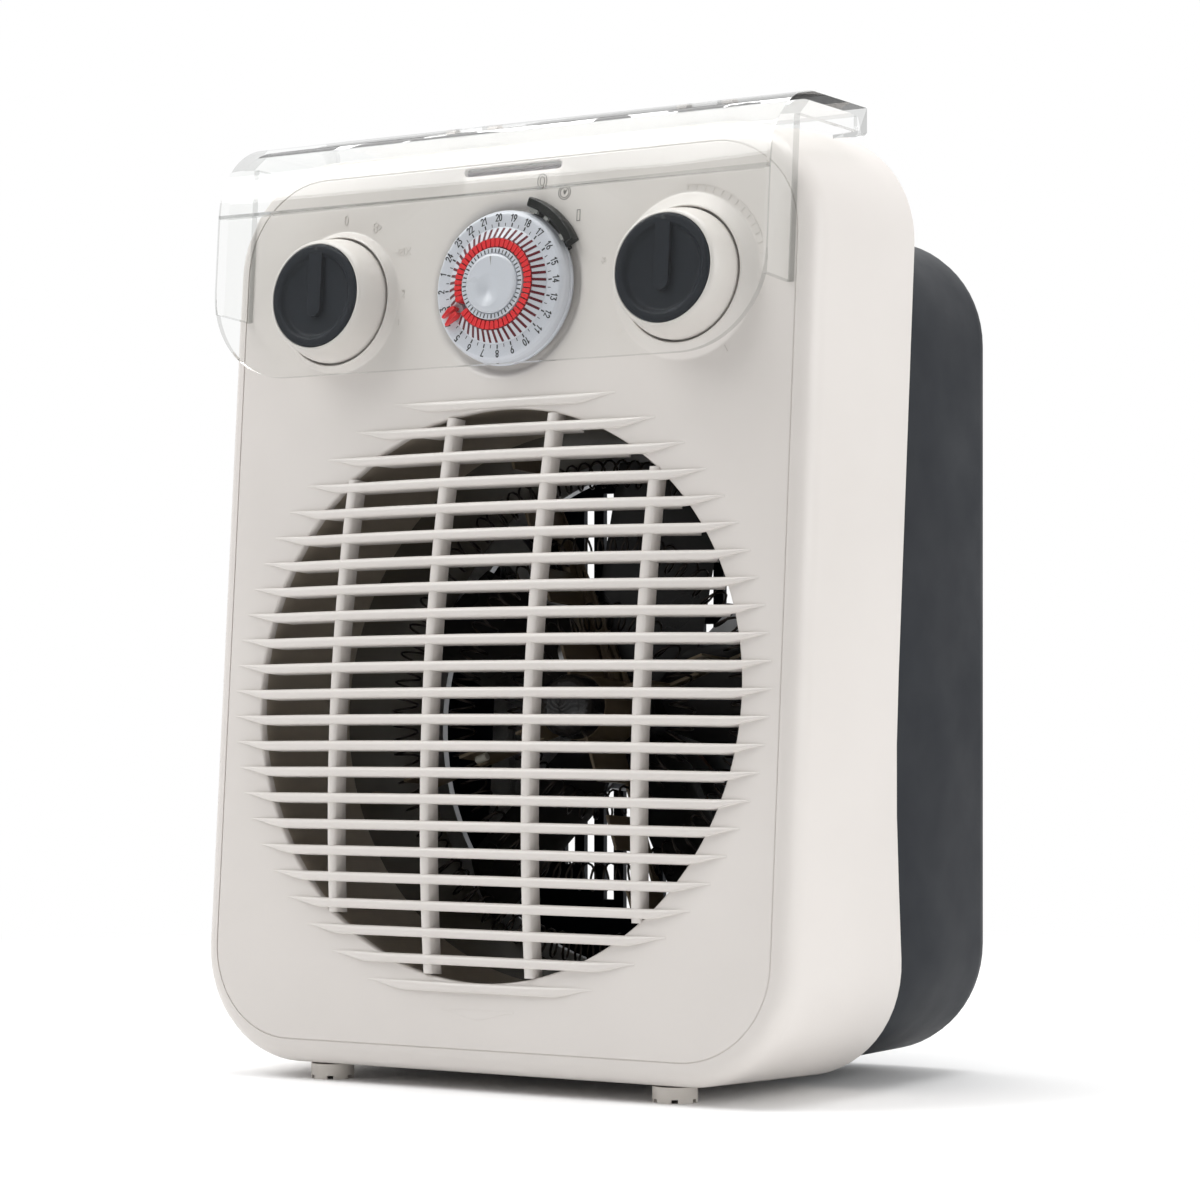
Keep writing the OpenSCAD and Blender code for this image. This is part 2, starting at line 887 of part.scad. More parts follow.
// Disc with a groove for the tappets' heads and a sloping ring for their fins, cut away at the set ones
module timer_dial() {
  slope_in = 14.95;
  slope_out = 18.9;
  color([0.93, 0.93, 0.95]) control(0)
    difference() {
      rotate_extrude($fn = 96)
        polygon([[0, -0.6], [dial_r - 0.3, -0.6], [dial_r, -0.2], [dial_r, 0.9], [dial_r - 0.4, 1.1],
                 [dial_r - 0.4, 1.4], [dial_r - 0.15, 1.6], [dial_r - 0.5, 3.8], [dial_r - 1, 4.9],
                 [dial_r - 1.8, 5.5], [slope_out, 5.5], [slope_in, slope_w(slope_in)], [slope_in, 3.2],
                 [11.6, 3.2], [11.6, 9.2], [0, 9.2]]);
      rotate([0, 0, dial_zero + (set_tappets[0] - 0.6) * tappet_step])
        rotate_extrude(angle = (set_tappets[1] - set_tappets[0] + 1.2) * tappet_step)
          polygon([[14, 5.3], [slope_out + 0.1, 5.3], [slope_out + 0.1, 10], [14, 10]]);
    }
}

module dial_hub() {
  color([0.93, 0.93, 0.95]) control(0)
    difference() {
      rotate_extrude()
        polygon([[0, 9.22], [9.6, 9.22], [9.6, 9.7], [9.2, 10.1], [0, 10.2]]);
      translate([-1.2, -1.8, 21.6])
        sphere(r = 12);
      rotate([0, 0, dial_zero])
        slab([5.5, -0.35, 9.7], [9, 0.35, 11]);
    }
}

// Height of the sloping ring round the heads
function slope_w(r) = 5.5 + 0.71 * (18.9 - r);

// Wedge-shaped head and fin of one tappet, pointing along +x
module tappet(shift) {
  set = shift > 0;
  low = set ? 5.82 : 3.22;
  translate([shift, 0, 0]) {
    translate([0, 0, low])
      linear_extrude(8.9 - low)
        polygon([[12, -0.62], [14.7, -0.8], [14.7, 0.8], [12, 0.62]]);
    rotate([90, 0, 0])
      translate([0, 0, -0.4])
        linear_extrude(0.8)
          polygon([[14.5, set ? low : slope_w(14.5) + 0.04], [18.6, set ? low : slope_w(18.6) + 0.04],
                   [18.6, set ? low + 1 : slope_w(18.6) + 0.2], [14.5, slope_w(14.5) + 0.2]]);
  }
}

module tappets() {
  color([0.8, 0.15, 0.17]) control(0)
    for (i = [0:tappet_n - 1])
      if (i != set_tappets[0] && i != set_tappets[1])
        rotate([0, 0, dial_zero + i * tappet_step])
          tappet(0);
}

module set_tappet(k) {
  color([0.85, 0.12, 0.15]) control(0)
    rotate([0, 0, dial_zero + set_tappets[k] * tappet_step])
      tappet(4);
}

module tappet_a() {
  set_tappet(0);
}

module tappet_b() {
  set_tappet(1);
}

// Lever under the disc, with a stepped and ribbed tab past its edge
module timer_lever() {
  tab_in = dial_r + 0.3;
  link_out = dish_in - 0.3;
  color([0.2, 0.2, 0.19]) control(0) {
    tube(14, 9.1, -1.9, -1);
    rotate([0, 0, 27])
      rotate_extrude(angle = 44)
        polygon([[13.5, -1.9], [link_out, -1.9], [link_out, 0.3], [30.3, 0.3], [30.3, 4.4], [26.8, 4.4],
                 [26.8, 1.7], [tab_in, 1.7], [tab_in, -1], [13.5, -1]]);
    for (a = [34, 54])
      rotate([0, 0, a])
        slab([tab_in + 0.2, -0.8, 1.5], [27, 0.8, 3]);
  }
}

module indicator_lens() {
  color([0.45, 0.08, 0.1]) face()
    slab([-18.8, 168.85, -panel_t], [18.8, 171.55, -0.6]);
}

module indicator_lamp() {
  color([0.9, 0.6, 0.5]) face()
    translate([0, 165.6, -7.6])
      rotate([0, 90, 0])
        disc(2.4, -7, 7);
}

module terminal_block() {
  color([0.8, 0.8, 0.76])
    difference() {
      slab([40, 26, housing_lo + wall + 0.02], [76, 40, housing_lo + wall + 13]);
      for (i = [0:2])
        translate([46 + 12 * i, 33, housing_lo + wall + 4])
          cylinder(r = 2.5, h = 12);
    }
}

module cord_clamp() {
  color([0.2, 0.2, 0.22]) {
    slab([-74, 56, housing_lo + wall + 0.02], [-50, 64, housing_lo + wall + 6]);
    slab([-74, 56, housing_lo + wall + 14], [-50, 64, housing_lo + wall + 17]);
    for (x = [-71, -53])
      translate([x, 60, housing_lo + wall + 5.9])
        cylinder(r = 2, h = 12);
  }
}

// ---------- cover ----------

bend_r = 29;
bend_z = cover_top - bend_r;
cover_y = face_y + (lean_k * (bend_z - outlet_z) * cos(face_lean) - (cover_w - bend_r)) / cos(face_lean);
bend_v = (bend_z - outlet_z) * cos(face_lean) + (cover_y - face_y) * sin(face_lean);
cover_lo = 103.3;
cover_back = -7.2;
cheek_gap = 0.35;

module hinge_pins() {
  color(steel)
    for (u = hinge_us)
      x_rod(pin_r, hinge_y, hinge_z, u - 10.5, u + 10.5);
}

module timer_cover() {
  color([0.88, 0.92, 0.92, 0.35]) {
    cover_front();
    cover_bend(cover_half);
    slab([-cover_half, cover_y, cover_top - cover_t], [cover_half, cover_back, cover_top]);
    cover_knuckles();
    for (s = [0, 1])
      mirror([s, 0, 0]) {
        cover_cheek();
        cover_hook();
      }
  }
}

module cover_front() {
  face()
    translate([0, 0, cover_w - cover_t])
      linear_extrude(cover_t)
        intersection() {
          cover_outline();
          translate([-cover_half, cover_lo])
            square([2 * cover_half, bend_v - cover_lo]);
        }
}

// Front sheet with its rounded lower corners
module cover_outline() {
  translate([-cover_half, cover_lo + 30])
    square([2 * cover_half, bend_v - cover_lo - 30]);
  translate([-cover_half + 30, cover_lo])
    square([2 * (cover_half - 30), 31]);
  for (s = [-1, 1])
    translate([s * (cover_half - 30), cover_lo + 30])
      circle(r = 30);
}

// Rounded bend from the leaning front to the level top
module cover_bend(half) {
  translate([-half, cover_y, bend_z])
    rotate([0, 90, 0])
      rotate([0, 0, 180])
        rotate_extrude(angle = 90 - face_lean, $fn = 96)
          translate([bend_r - cover_t, 0])
            square([cover_t, 2 * half]);
}

module cover_cheek() {
  t = 2.4;
  intersection() {
    translate([cover_half - t, 0, 0])
      union() {
        slab([0, -60, cover_top - 8], [t, cover_back, cover_top - 1]);
        face()
          slab([0, 126, cheek_gap], [t, panel_hi + 16, cover_w - 1]);
      }
    union() {
      x_rod(bend_r - 0.5, cover_y, bend_z, 0, 120);
      slab([0, cover_y, 200], [120, 0, cover_top - 1]);
      face()
        slab([0, 0, -5], [120, bend_v, cover_w - 0.5]);
    }
  }
}

module cover_hook() {
  t = 3.8;
  translate([cover_half - t, 0, 0])
    rotate([90, 0, 90])
      linear_extrude(t)
        polygon([[cover_back, cover_top - 1], [cover_back, 304.4], [-9.4, 302.8], [-23, 300.6],
                 [-23, 301.8], [-10.4, 304.8], [cover_back - 2.4, 306.2], [cover_back - 2.4, cover_top - 1]]);
}

module cover_knuckles() {
  for (u = hinge_us)
    difference() {
      union() {
        x_rod(hinge_r, hinge_y, hinge_z, u - 6, u + 6);
        slab([u - 6, cover_back - 1, cover_top - cover_t], [u + 6, hinge_y, cover_top]);
      }
      x_rod(pin_r + 0.05, hinge_y, hinge_z, u - 7, u + 7);
    }
}

// ---------- build ----------

front_shell();
front_panel();
outlet_grille();
scale_marks();
rear_housing();
front_feet();
rear_feet();
air_duct();
fan_shroud();
duct_screws();
element_boards();
element_hub();
heating_ribbons();
thermal_cutout();
thermal_fuse();
motor_spider();
motor_stator();
motor_coil();
motor_bridges();
motor_bushings();
motor_screws();
switch_body();
switch_terminals();
thermostat_body();
thermostat_bimetal();
timer_case();
timer_motor();
timer_microswitch();
indicator_lens();
indicator_lamp();
terminal_block();
cord_gland();
cord_clamp();
rear_screws();
hinge_pins();
timer_cover();
function_collar();
function_cap();
function_spindle();
function_cam();
thermostat_collar();
thermostat_cap();
thermostat_spindle();
timer_dial();
dial_hub();
dial_gear();
tappets();
tappet_a();
tappet_b();
timer_lever();
timer_pinion();
fan_rotor();
motor_shaft();
motor_rotor();
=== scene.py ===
"""Compact fan heater with a clear flip-up cover: looks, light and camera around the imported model."""

import json
import math

import bmesh
import bpy
from mathutils import Matrix, Vector
from mathutils.bvhtree import BVHTree
from mathutils.geometry import delaunay_2d_cdt

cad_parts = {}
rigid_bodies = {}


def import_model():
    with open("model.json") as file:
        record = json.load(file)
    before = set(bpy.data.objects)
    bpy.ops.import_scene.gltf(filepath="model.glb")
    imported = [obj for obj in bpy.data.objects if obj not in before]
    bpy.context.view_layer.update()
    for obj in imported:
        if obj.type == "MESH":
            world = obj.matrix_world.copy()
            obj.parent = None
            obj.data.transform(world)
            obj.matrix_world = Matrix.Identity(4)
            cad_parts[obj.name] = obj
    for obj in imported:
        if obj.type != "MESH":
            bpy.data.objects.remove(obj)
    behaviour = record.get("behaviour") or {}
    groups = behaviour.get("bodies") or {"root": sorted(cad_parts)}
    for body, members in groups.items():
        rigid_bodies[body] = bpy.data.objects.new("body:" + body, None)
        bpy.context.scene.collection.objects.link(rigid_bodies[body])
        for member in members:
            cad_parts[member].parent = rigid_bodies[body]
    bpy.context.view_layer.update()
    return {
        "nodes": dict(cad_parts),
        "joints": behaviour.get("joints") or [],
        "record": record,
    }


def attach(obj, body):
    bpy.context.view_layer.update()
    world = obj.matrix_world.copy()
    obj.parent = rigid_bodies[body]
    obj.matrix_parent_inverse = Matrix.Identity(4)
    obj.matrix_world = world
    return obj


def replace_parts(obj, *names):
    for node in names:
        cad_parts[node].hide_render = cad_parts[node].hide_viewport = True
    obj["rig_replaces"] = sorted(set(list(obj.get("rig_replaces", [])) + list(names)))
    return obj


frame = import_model()
MM = 0.001
TAU = 2 * math.pi
SHARP = 35.0
joints = {j["name"]: j for j in frame["joints"]}

# ---------- the leaning face, from the joints ----------

DISC = joints["disc_turn"]
OUT = -Vector(DISC["axis"]).normalized()
UP = Vector((0, OUT.z, -OUT.y))
KNOB_V = 130.5
DIAL_V = 131.0
ORIGIN = Vector(DISC["pos_m"]) - UP * DIAL_V * MM
KNOB_U = abs(joints["function_turn"]["pos_m"][0]) / MM
FACE = Matrix((
    (MM, 0, 0, ORIGIN.x),
    (0, UP.y * MM, OUT.y * MM, ORIGIN.y),
    (0, UP.z * MM, OUT.z * MM, ORIGIN.z),
    (0, 0, 0, 1)))


def on_face(u=0.0, v=0.0, w=0.0, turn=0.0):
    """Millimetre frame on the face: x across, y up the face, z outwards, turned by degrees."""
    return FACE @ Matrix.Translation((u, v, w)) @ Matrix.Rotation(math.radians(turn), 4, "Z")


def control(u=0.0, w=0.0, turn=0.0):
    """Frame of a knob's axis, or of the timer's where u is 0."""
    return on_face(u, KNOB_V if u else DIAL_V, w, turn)


def step(lo, hi, x):
    """Smooth rise from 0 at lo to 1 at hi."""
    t = min(1.0, max(0.0, (x - lo) / (hi - lo)))
    return t * t * (3 - 2 * t)


def ring_points(r, steps, cx=0.0, cy=0.0):
    return [(cx + r * math.cos(TAU * i / steps), cy + r * math.sin(TAU * i / steps)) for i in range(steps)]


def round_rect(hw, lo, hi, r):
    """Outline of a rounded rectangle, anticlockwise from the right side."""
    corner = 20
    centres = ((hw - r, hi - r), (-hw + r, hi - r), (-hw + r, lo + r), (hw - r, lo + r))
    pts = []
    for k, (cx, cy) in enumerate(centres):
        for i in range(corner + 1):
            a = (k + i / corner) * math.pi / 2
            pts.append((cx + r * math.cos(a), cy + r * math.sin(a)))
    return pts


def softened(profile, radius):
    """Profile with each inner corner replaced by a small curve."""
    n = 4
    pts = [profile[0]]
    for a, b, c in zip(profile, profile[1:], profile[2:]):
        b2 = Vector(b)
        pa, pc = Vector(a) - b2, Vector(c) - b2
        la = min(radius, pa.length * 0.45)
        lc = min(radius, pc.length * 0.45)
        p0 = b2 + pa.normalized() * la
        p2 = b2 + pc.normalized() * lc
        for i in range(n + 1):
            t = i / n
            q = p0 * (1 - t) ** 2 + b2 * 2 * t * (1 - t) + p2 * t * t
            pts.append((q.x, q.y))
    pts.append(profile[-1])
    return pts


def spin(bm, profile, matrix, steps=128):
    """Closed solid of revolution about z; the profile starts and ends on the axis."""
    rings = []
    for r, w in profile:
        if r < 1e-6:
            rings.append([bm.verts.new(matrix @ Vector((0, 0, w)))])
        else:
            rings.append([bm.verts.new(matrix @ Vector((x, y, w))) for x, y in ring_points(r, steps)])
    stitch(bm, rings)


def stitch(bm, rings):
    """Faces between neighbouring rings of vertices; a ring of one vertex is a pole."""
    for a, b in zip(rings, rings[1:]):
        n = max(len(a), len(b))
        for i in range(n):
            j = (i + 1) % n
            quad = [a[i % len(a)], a[j % len(a)], b[j % len(b)], b[i % len(b)]]
            corners = list(dict.fromkeys(quad))
            if len(corners) > 2:
                bm.faces.new(corners)


def relief(bm, radii, height, base, matrix, steps=128):
    """Closed round piece whose top follows height(x, y) and whose underside is level at base."""
    rings = [[bm.verts.new(matrix @ Vector((0, 0, height(0, 0))))]]
    for r in radii:
        rings.append([bm.verts.new(matrix @ Vector((x, y, height(x, y)))) for x, y in ring_points(r, steps)])
    rings.append([bm.verts.new(matrix @ Vector((x, y, base))) for x, y in ring_points(radii[-1], steps)])
    rings.append([bm.verts.new(matrix @ Vector((0, 0, base)))])
    stitch(bm, rings)


def prism(bm, outline, lo, hi, matrix):
    """Straight prism over an outline."""
    rings = [[bm.verts.new(matrix @ Vector((x, y, w))) for x, y in outline] for w in (lo, hi)]
    stitch(bm, rings)
    bm.faces.new(rings[0])
    bm.faces.new(rings[1])


def box(bm, lo, hi, matrix):
    prism(bm, [(lo[0], lo[1]), (hi[0], lo[1]), (hi[0], hi[1]), (lo[0], hi[1])], lo[2], hi[2], matrix)


def stroke(bm, path, width, lo, hi, matrix):
    """Thin raised line along a path, one bar for each straight piece."""
    for a, b in zip(path, path[1:]):
        p, q = Vector(a), Vector(b)
        d = (q - p).normalized()
        s = Vector((-d.y, d.x)) * width / 2
        p, q = p - d * width * 0.45, q + d * width * 0.45
        prism(bm, [tuple(p - s), tuple(q - s), tuple(q + s), tuple(p + s)], lo, hi, matrix)


def arc(cx, cy, rx, ry, a0, a1, n=10):
    return [(cx + rx * math.cos(math.radians(a0 + (a1 - a0) * i / n)),
             cy + ry * math.sin(math.radians(a0 + (a1 - a0) * i / n))) for i in range(n + 1)]


# Digits as pen strokes in a cell one wide and two high
DIGITS = {
    "0": [arc(0.5, 1, 0.42, 1, 0, 360, 16)],
    "1": [[(0.2, 1.55), (0.6, 2), (0.6, 0)]],
    "2": [arc(0.5, 1.5, 0.4, 0.5, 165, -35) + [(0.08, 0), (0.92, 0)]],
    "3": [[(0.12, 2), (0.86, 2), (0.42, 1.22)] + arc(0.44, 0.62, 0.44, 0.6, 80, -145)],
    "4": [[(0.72, 0), (0.72, 2), (0.05, 0.55), (0.98, 0.55)]],
    "5": [[(0.86, 2), (0.2, 2), (0.14, 1.1)] + arc(0.46, 0.64, 0.42, 0.62, 115, -145)],
    "6": [[(0.72, 2), (0.14, 0.9)] + arc(0.5, 0.6, 0.42, 0.6, 150, 510, 14)],
    "7": [[(0.08, 2), (0.92, 2), (0.35, 0)]],
    "8": [arc(0.5, 1.52, 0.36, 0.48, 0, 360, 14), arc(0.5, 0.53, 0.43, 0.53, 0, 360, 14)],
    "9": [[(0.28, 0), (0.86, 1.1)] + arc(0.5, 1.4, 0.42, 0.6, -30, 330, 14)],
}


def number(bm, text, height, width, lo, hi, matrix):
    """A number centred on the matrix's origin, its top towards y."""
    k = height / 2
    pitch = k * 1.18
    for i, ch in enumerate(text):
        shift = (i - (len(text) - 1) / 2) * pitch - k * 0.5
        for path in DIGITS[ch]:
            stroke(bm, [(shift + x * k, (y - 1) * k) for x, y in path], width, lo, hi, matrix)


# ---------- materials ----------


class Shader:
    """Small helper around one material's node tree."""

    def __init__(self, name, **sockets):
        self.mat = bpy.data.materials.new(name)
        self.mat.use_nodes = True
        self.tree = self.mat.node_tree
        self.bsdf = self.tree.nodes["Principled BSDF"]
        self.coords = None
        for key, value in sockets.items():
            self.bsdf.inputs[key.replace("_", " ")].default_value = value

    def node(self, kind, **values):
        n = self.tree.nodes.new(kind)
        for key, value in values.items():
            if key in n.inputs:
                n.inputs[key].default_value = value
            else:
                setattr(n, key, value)
        return n

    def link(self, a, b):
        self.tree.links.new(a, b)

    def noise(self, scale, detail=3.0, stretch=(1, 1, 1)):
        if self.coords is None:
            self.coords = self.node("ShaderNodeTexCoord")
        mapping = self.node("ShaderNodeMapping")
        mapping.inputs["Scale"].default_value = stretch
        self.link(self.coords.outputs["Object"], mapping.inputs["Vector"])
        n = self.node("ShaderNodeTexNoise", Scale=scale, Detail=detail)
        self.link(mapping.outputs["Vector"], n.inputs["Vector"])
        return n.outputs["Fac"]

    def spread(self, fac, low, high):
        n = self.node("ShaderNodeMapRange")
        n.inputs["To Min"].default_value = low
        n.inputs["To Max"].default_value = high
        n.inputs["From Min"].default_value = 0.3
        n.inputs["From Max"].default_value = 0.7
        self.link(fac, n.inputs["Value"])
        return n.outputs["Result"]

    def roughness(self, scale, low, high):
        self.link(self.spread(self.noise(scale), low, high), self.bsdf.inputs["Roughness"])

    def tint(self, scale, dark, light):
        ramp = self.node("ShaderNodeValToRGB")
        ramp.color_ramp.elements[0].position = 0.35
        ramp.color_ramp.elements[1].position = 0.65
        ramp.color_ramp.elements[0].color = (*dark, 1)
        ramp.color_ramp.elements[1].color = (*light, 1)
        self.link(self.noise(scale), ramp.inputs["Fac"])
        self.link(ramp.outputs["Color"], self.bsdf.inputs["Base Color"])

    def bump(self, scale, strength, distance=0.0002, detail=2.0, stretch=(1, 1, 1)):
        b = self.node("ShaderNodeBump", Strength=strength, Distance=distance)
        self.link(self.noise(scale, detail, stretch), b.inputs["Height"])
        self.link(b.outputs["Normal"], self.bsdf.inputs["Normal"])


def plastic(name, dark, light, rough, grain_scale, grain, coat=0.0, ior=1.5):
    s = Shader(name, IOR=ior, Coat_Weight=coat, Coat_Roughness=0.15)
    s.tint(9.0, dark, light)
    s.roughness(40.0, rough[0], rough[1])
    s.bump(grain_scale, grain)
    return s.mat


def metal(name, colour, rough, stretch=(1, 1, 1), grain=0.1):
    s = Shader(name, Metallic=1.0)
    s.tint(60.0, tuple(c * 0.86 for c in colour), colour)
    s.roughness(300.0, rough[0], rough[1])
    s.bump(900.0, grain, 0.0001, 2.0, stretch)
    return s.mat


MATS = {
    "cream_plastic": plastic(
        "cream_plastic", (0.640, 0.605, 0.575), (0.675, 0.640, 0.610), (0.34, 0.44), 1400.0, 0.05, 0.05),
    "slate_plastic": plastic(
        "slate_plastic", (0.0105, 0.0127, 0.0172), (0.015, 0.018, 0.023), (0.42, 0.54), 2600.0, 0.12,
        ior=1.2),
    "foot_cream": plastic(
        "foot_cream", (0.60, 0.565, 0.52), (0.66, 0.62, 0.575), (0.4, 0.5), 1400.0, 0.06),
    "foot_rubber": plastic(
        "foot_rubber", (0.014, 0.014, 0.014), (0.022, 0.022, 0.022), (0.7, 0.85), 1800.0, 0.2),
    "duct_metal": plastic(
        "duct_metal", (0.405, 0.352, 0.285), (0.490, 0.434, 0.360), (0.35, 0.5), 700.0, 0.1),
    "shroud_paint": plastic(
        "shroud_paint", (0.125, 0.112, 0.085), (0.165, 0.148, 0.114), (0.5, 0.7), 700.0, 0.1),
    "zinc_steel": metal("zinc_steel", (0.60, 0.61, 0.63), (0.28, 0.42)),
    "mica": plastic("mica", (0.16, 0.12, 0.075), (0.30, 0.24, 0.16), (0.3, 0.55), 500.0, 0.25),
    "ribbon_alloy": metal("ribbon_alloy", (0.085, 0.075, 0.068), (0.4, 0.55)),
    "laminated_steel": metal("laminated_steel", (0.36, 0.37, 0.39), (0.35, 0.5), (1, 30, 1), 0.3),
    "copper_coil": metal("copper_coil", (0.52, 0.20, 0.07), (0.22, 0.35), (1, 1, 40), 0.4),
    "bronze": metal("bronze", (0.55, 0.36, 0.16), (0.4, 0.55)),
    "switch_plastic": plastic(
        "switch_plastic", (0.020, 0.020, 0.022), (0.030, 0.030, 0.032), (0.12, 0.2), 1500.0, 0.02, 1.0),
    "tinned_brass": metal("tinned_brass", (0.72, 0.56, 0.28), (0.25, 0.38)),
    "white_plastic": plastic(
        "white_plastic", (0.55, 0.57, 0.62), (0.59, 0.61, 0.66), (0.26, 0.36), 1500.0, 0.03, 0.1),
    "nylon": plastic("nylon", (0.62, 0.60, 0.52), (0.68, 0.66, 0.58), (0.4, 0.55), 900.0, 0.05),
    "red_plastic": plastic(
        "red_plastic", (0.66, 0.008, 0.012), (0.74, 0.014, 0.020), (0.25, 0.38), 1200.0, 0.03, 0.1),
    "lever_plastic": plastic(
        "lever_plastic", (0.005, 0.006, 0.005), (0.009, 0.010, 0.009), (0.25, 0.35), 1500.0, 0.04, 0.0, 1.3),
    "red_lens": plastic(
        "red_lens", (0.035, 0.006, 0.009), (0.05, 0.008, 0.012), (0.15, 0.25), 300.0, 0.01, 0.3),
    "fan_plastic": plastic(
        "fan_plastic", (0.012, 0.012, 0.012), (0.020, 0.020, 0.020), (0.25, 0.35), 1200.0, 0.06),
    "print_black": plastic(
        "print_black", (0.010, 0.010, 0.012), (0.016, 0.016, 0.018), (0.4, 0.5), 900.0, 0.02),
    "maroon_plastic": plastic(
        "maroon_plastic", (0.085, 0.002, 0.008), (0.12, 0.004, 0.012), (0.35, 0.5), 900.0, 0.02, 0.0, 1.3),
    # Grey for painted shade round the lever's embossed signs and for the painted reflection over the indicator
    # window.
    "mark_painted_shade_and_reflection": plastic(
        "mark_painted_shade_and_reflection", (0.16, 0.15, 0.14), (0.20, 0.19, 0.175), (0.4, 0.5), 1400.0, 0.04),
    "lever_grey": plastic(
        "lever_grey", (0.26, 0.265, 0.25), (0.32, 0.325, 0.31), (0.25, 0.35), 1500.0, 0.04),
}


def see_through(name, colour, edge, rough):
    """Clear moulding: polished skin that lets light through to what it covers, with painted shade where it is
    seen edge-on.
    """
    s = Shader(name, Transmission_Weight=1.0, IOR=1.03, Coat_Weight=0.5, Coat_IOR=1.5, Coat_Roughness=0.02)
    s.roughness(25.0, *rough)
    # The grey blended in towards grazing angles is painted shade, not a tint of the plastic.
    facing = s.node("ShaderNodeLayerWeight", Blend=0.5)
    ramp = s.node("ShaderNodeValToRGB")
    ramp.color_ramp.elements[0].position = 0.86
    ramp.color_ramp.elements[1].position = 0.99
    ramp.color_ramp.elements[0].color = (*colour, 1)
    ramp.color_ramp.elements[1].color = (*edge, 1)
    s.link(facing.outputs["Facing"], ramp.inputs["Fac"])
    s.link(ramp.outputs["Color"], s.bsdf.inputs["Base Color"])
    clear = s.node("ShaderNodeBsdfTransparent")
    clear.inputs["Color"].default_value = (*(c * 0.97 for c in colour), 1)
    path = s.node("ShaderNodeLightPath")
    light = s.node("ShaderNodeMath", operation="MAXIMUM")
    s.link(path.outputs["Is Shadow Ray"], light.inputs[0])
    s.link(path.outputs["Is Diffuse Ray"], light.inputs[1])
    mix = s.node("ShaderNodeMixShader")
    s.link(light.outputs["Value"], mix.inputs["Fac"])
    s.link(s.bsdf.outputs["BSDF"], mix.inputs[1])
    s.link(clear.outputs["BSDF"], mix.inputs[2])
    s.link(mix.outputs["Shader"], s.tree.nodes["Material Output"].inputs["Surface"])
    return s.mat


MATS["clear_plastic"] = see_through("clear_plastic", (0.985, 0.99, 0.985), (0.30, 0.31, 0.31), (0.0, 0.006))
# The greyer finish for the cover's sides is painted shade.
MATS["clear_edge_painted_shade"] = see_through("clear_edge_painted_shade", (0.60, 0.605, 0.60), (0.16, 0.165, 0.165), (0.0, 0.02))
MATS["lamp_glass"] = see_through("lamp_glass", (0.95, 0.7, 0.6), (0.6, 0.4, 0.35), (0.0, 0.04))

SLOTS = {p["node"]: p["material_slot"] for p in frame["record"]["subparts"]}
BODY_OF = {n: b for b, nodes in frame["record"]["behaviour"]["bodies"].items() for n in nodes}

# ---------- building pieces ----------


def finish_mesh(name, bm, mat, node, angle=SHARP, replace=True):
    """Turns a bmesh in row-frame metres into a smooth-shaded piece that rides with a CAD node."""
    bmesh.ops.recalc_face_normals(bm, faces=bm.faces[:])
    mesh = bpy.data.meshes.new(name)
    shade_smooth(bm, angle)
    bm.to_mesh(mesh)
    bm.free()
    o = bpy.data.objects.new(name, mesh)
    bpy.context.scene.collection.objects.link(o)
    mesh.materials.append(MATS[mat])
    if replace:
        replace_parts(o, node)
    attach(o, BODY_OF[node])
    return o


def shade_smooth(bm, angle):
    """Smooth faces, with the edges that turn by more than the angle kept sharp."""
    limit = math.radians(angle)
    for f in bm.faces:
        f.smooth = True
    for e in bm.edges:
        e.smooth = e.is_manifold and e.calc_face_angle(0.0) < limit


def soften_edges(o, width, angle=SHARP):
    b = o.modifiers.new("edges", "BEVEL")
    b.width = width * MM
    b.segments = 2
    b.limit_method = "ANGLE"
    b.angle_limit = math.radians(angle)
    b.harden_normals = True
    b.use_clamp_overlap = True


def refine(node, bevel):
    """A CAD node's own shape with merged corners, smooth curves and softened edges."""
    bm = bmesh.new()
    bm.from_mesh(frame["nodes"][node].data)
    bmesh.ops.remove_doubles(bm, verts=bm.verts[:], dist=2e-6)
    bmesh.ops.dissolve_limit(bm, angle_limit=math.radians(0.6), verts=bm.verts[:], edges=bm.edges[:])
    o = finish_mesh(node + "_piece", bm, SLOTS[node], node)
    if bevel:
        soften_edges(o, bevel)
    return o


def narrow_sides(o, mat, thin):
    """Gives the sides of a sheet moulding, where the way through is long, their own greyer material: painted
    shade.
    """
    bm = bmesh.new()
    bm.from_mesh(o.data)
    bmesh.ops.triangulate(bm, faces=bm.faces[:])
    shade_smooth(bm, SHARP)
    tree = BVHTree.FromBMesh(bm)
    o.data.materials.append(MATS[mat])
    for f in bm.faces:
        depth = tree.ray_cast(f.calc_center_median() - f.normal * 0.01 * MM, -f.normal)[3]
        f.material_index = 1 if depth and depth > thin * MM else 0
    bm.to_mesh(o.data)
    bm.free()


def make(node, build, bevel=0.0, angle=SHARP):
    """A piece that takes a CAD node's place, drawn by build(bm)."""
    bm = bmesh.new()
    build(bm)
    o = finish_mesh(node + "_piece", bm, SLOTS[node], node, angle)
    if bevel:
        soften_edges(o, bevel, angle)


def detail(name, node, build, mat):
    """Extra surface detail that rides with a CAD node's piece, in a material of its own."""
    bm = bmesh.new()
    build(bm)
    finish_mesh(name, bm, mat, node, replace=False)


# ---------- front panel ----------

PANEL = dict(hw=105.9, lo=-113.2, hi=172.4, r=30.8)
OUTLET_R = 92.1
HOLE_R = 21.3
THICK = 3.0
RIM_INSET = 0.5
DISH_R = 30.4
OUTLET_EDGE = 93.0
BOSS_FOOT = 0.9
BOSSES = {-1: (23.6, 3.2), 1: (26.2, 3.6)}
SLOT_V = 170.2
SLOT_HALF = 17.45
SLOT_R = 1.4
SLOT_EDGE = 0.2


def flat_ring(bm, pts, w):
    return [bm.verts.new(on_face() @ Vector((x, y, w))) for x, y in pts]


def slot_outline(grow):
    r = SLOT_R + grow
    return arc(SLOT_HALF, SLOT_V, r, r, -90, 90, 8) + arc(-SLOT_HALF, SLOT_V, r, r, 90, 270, 8)


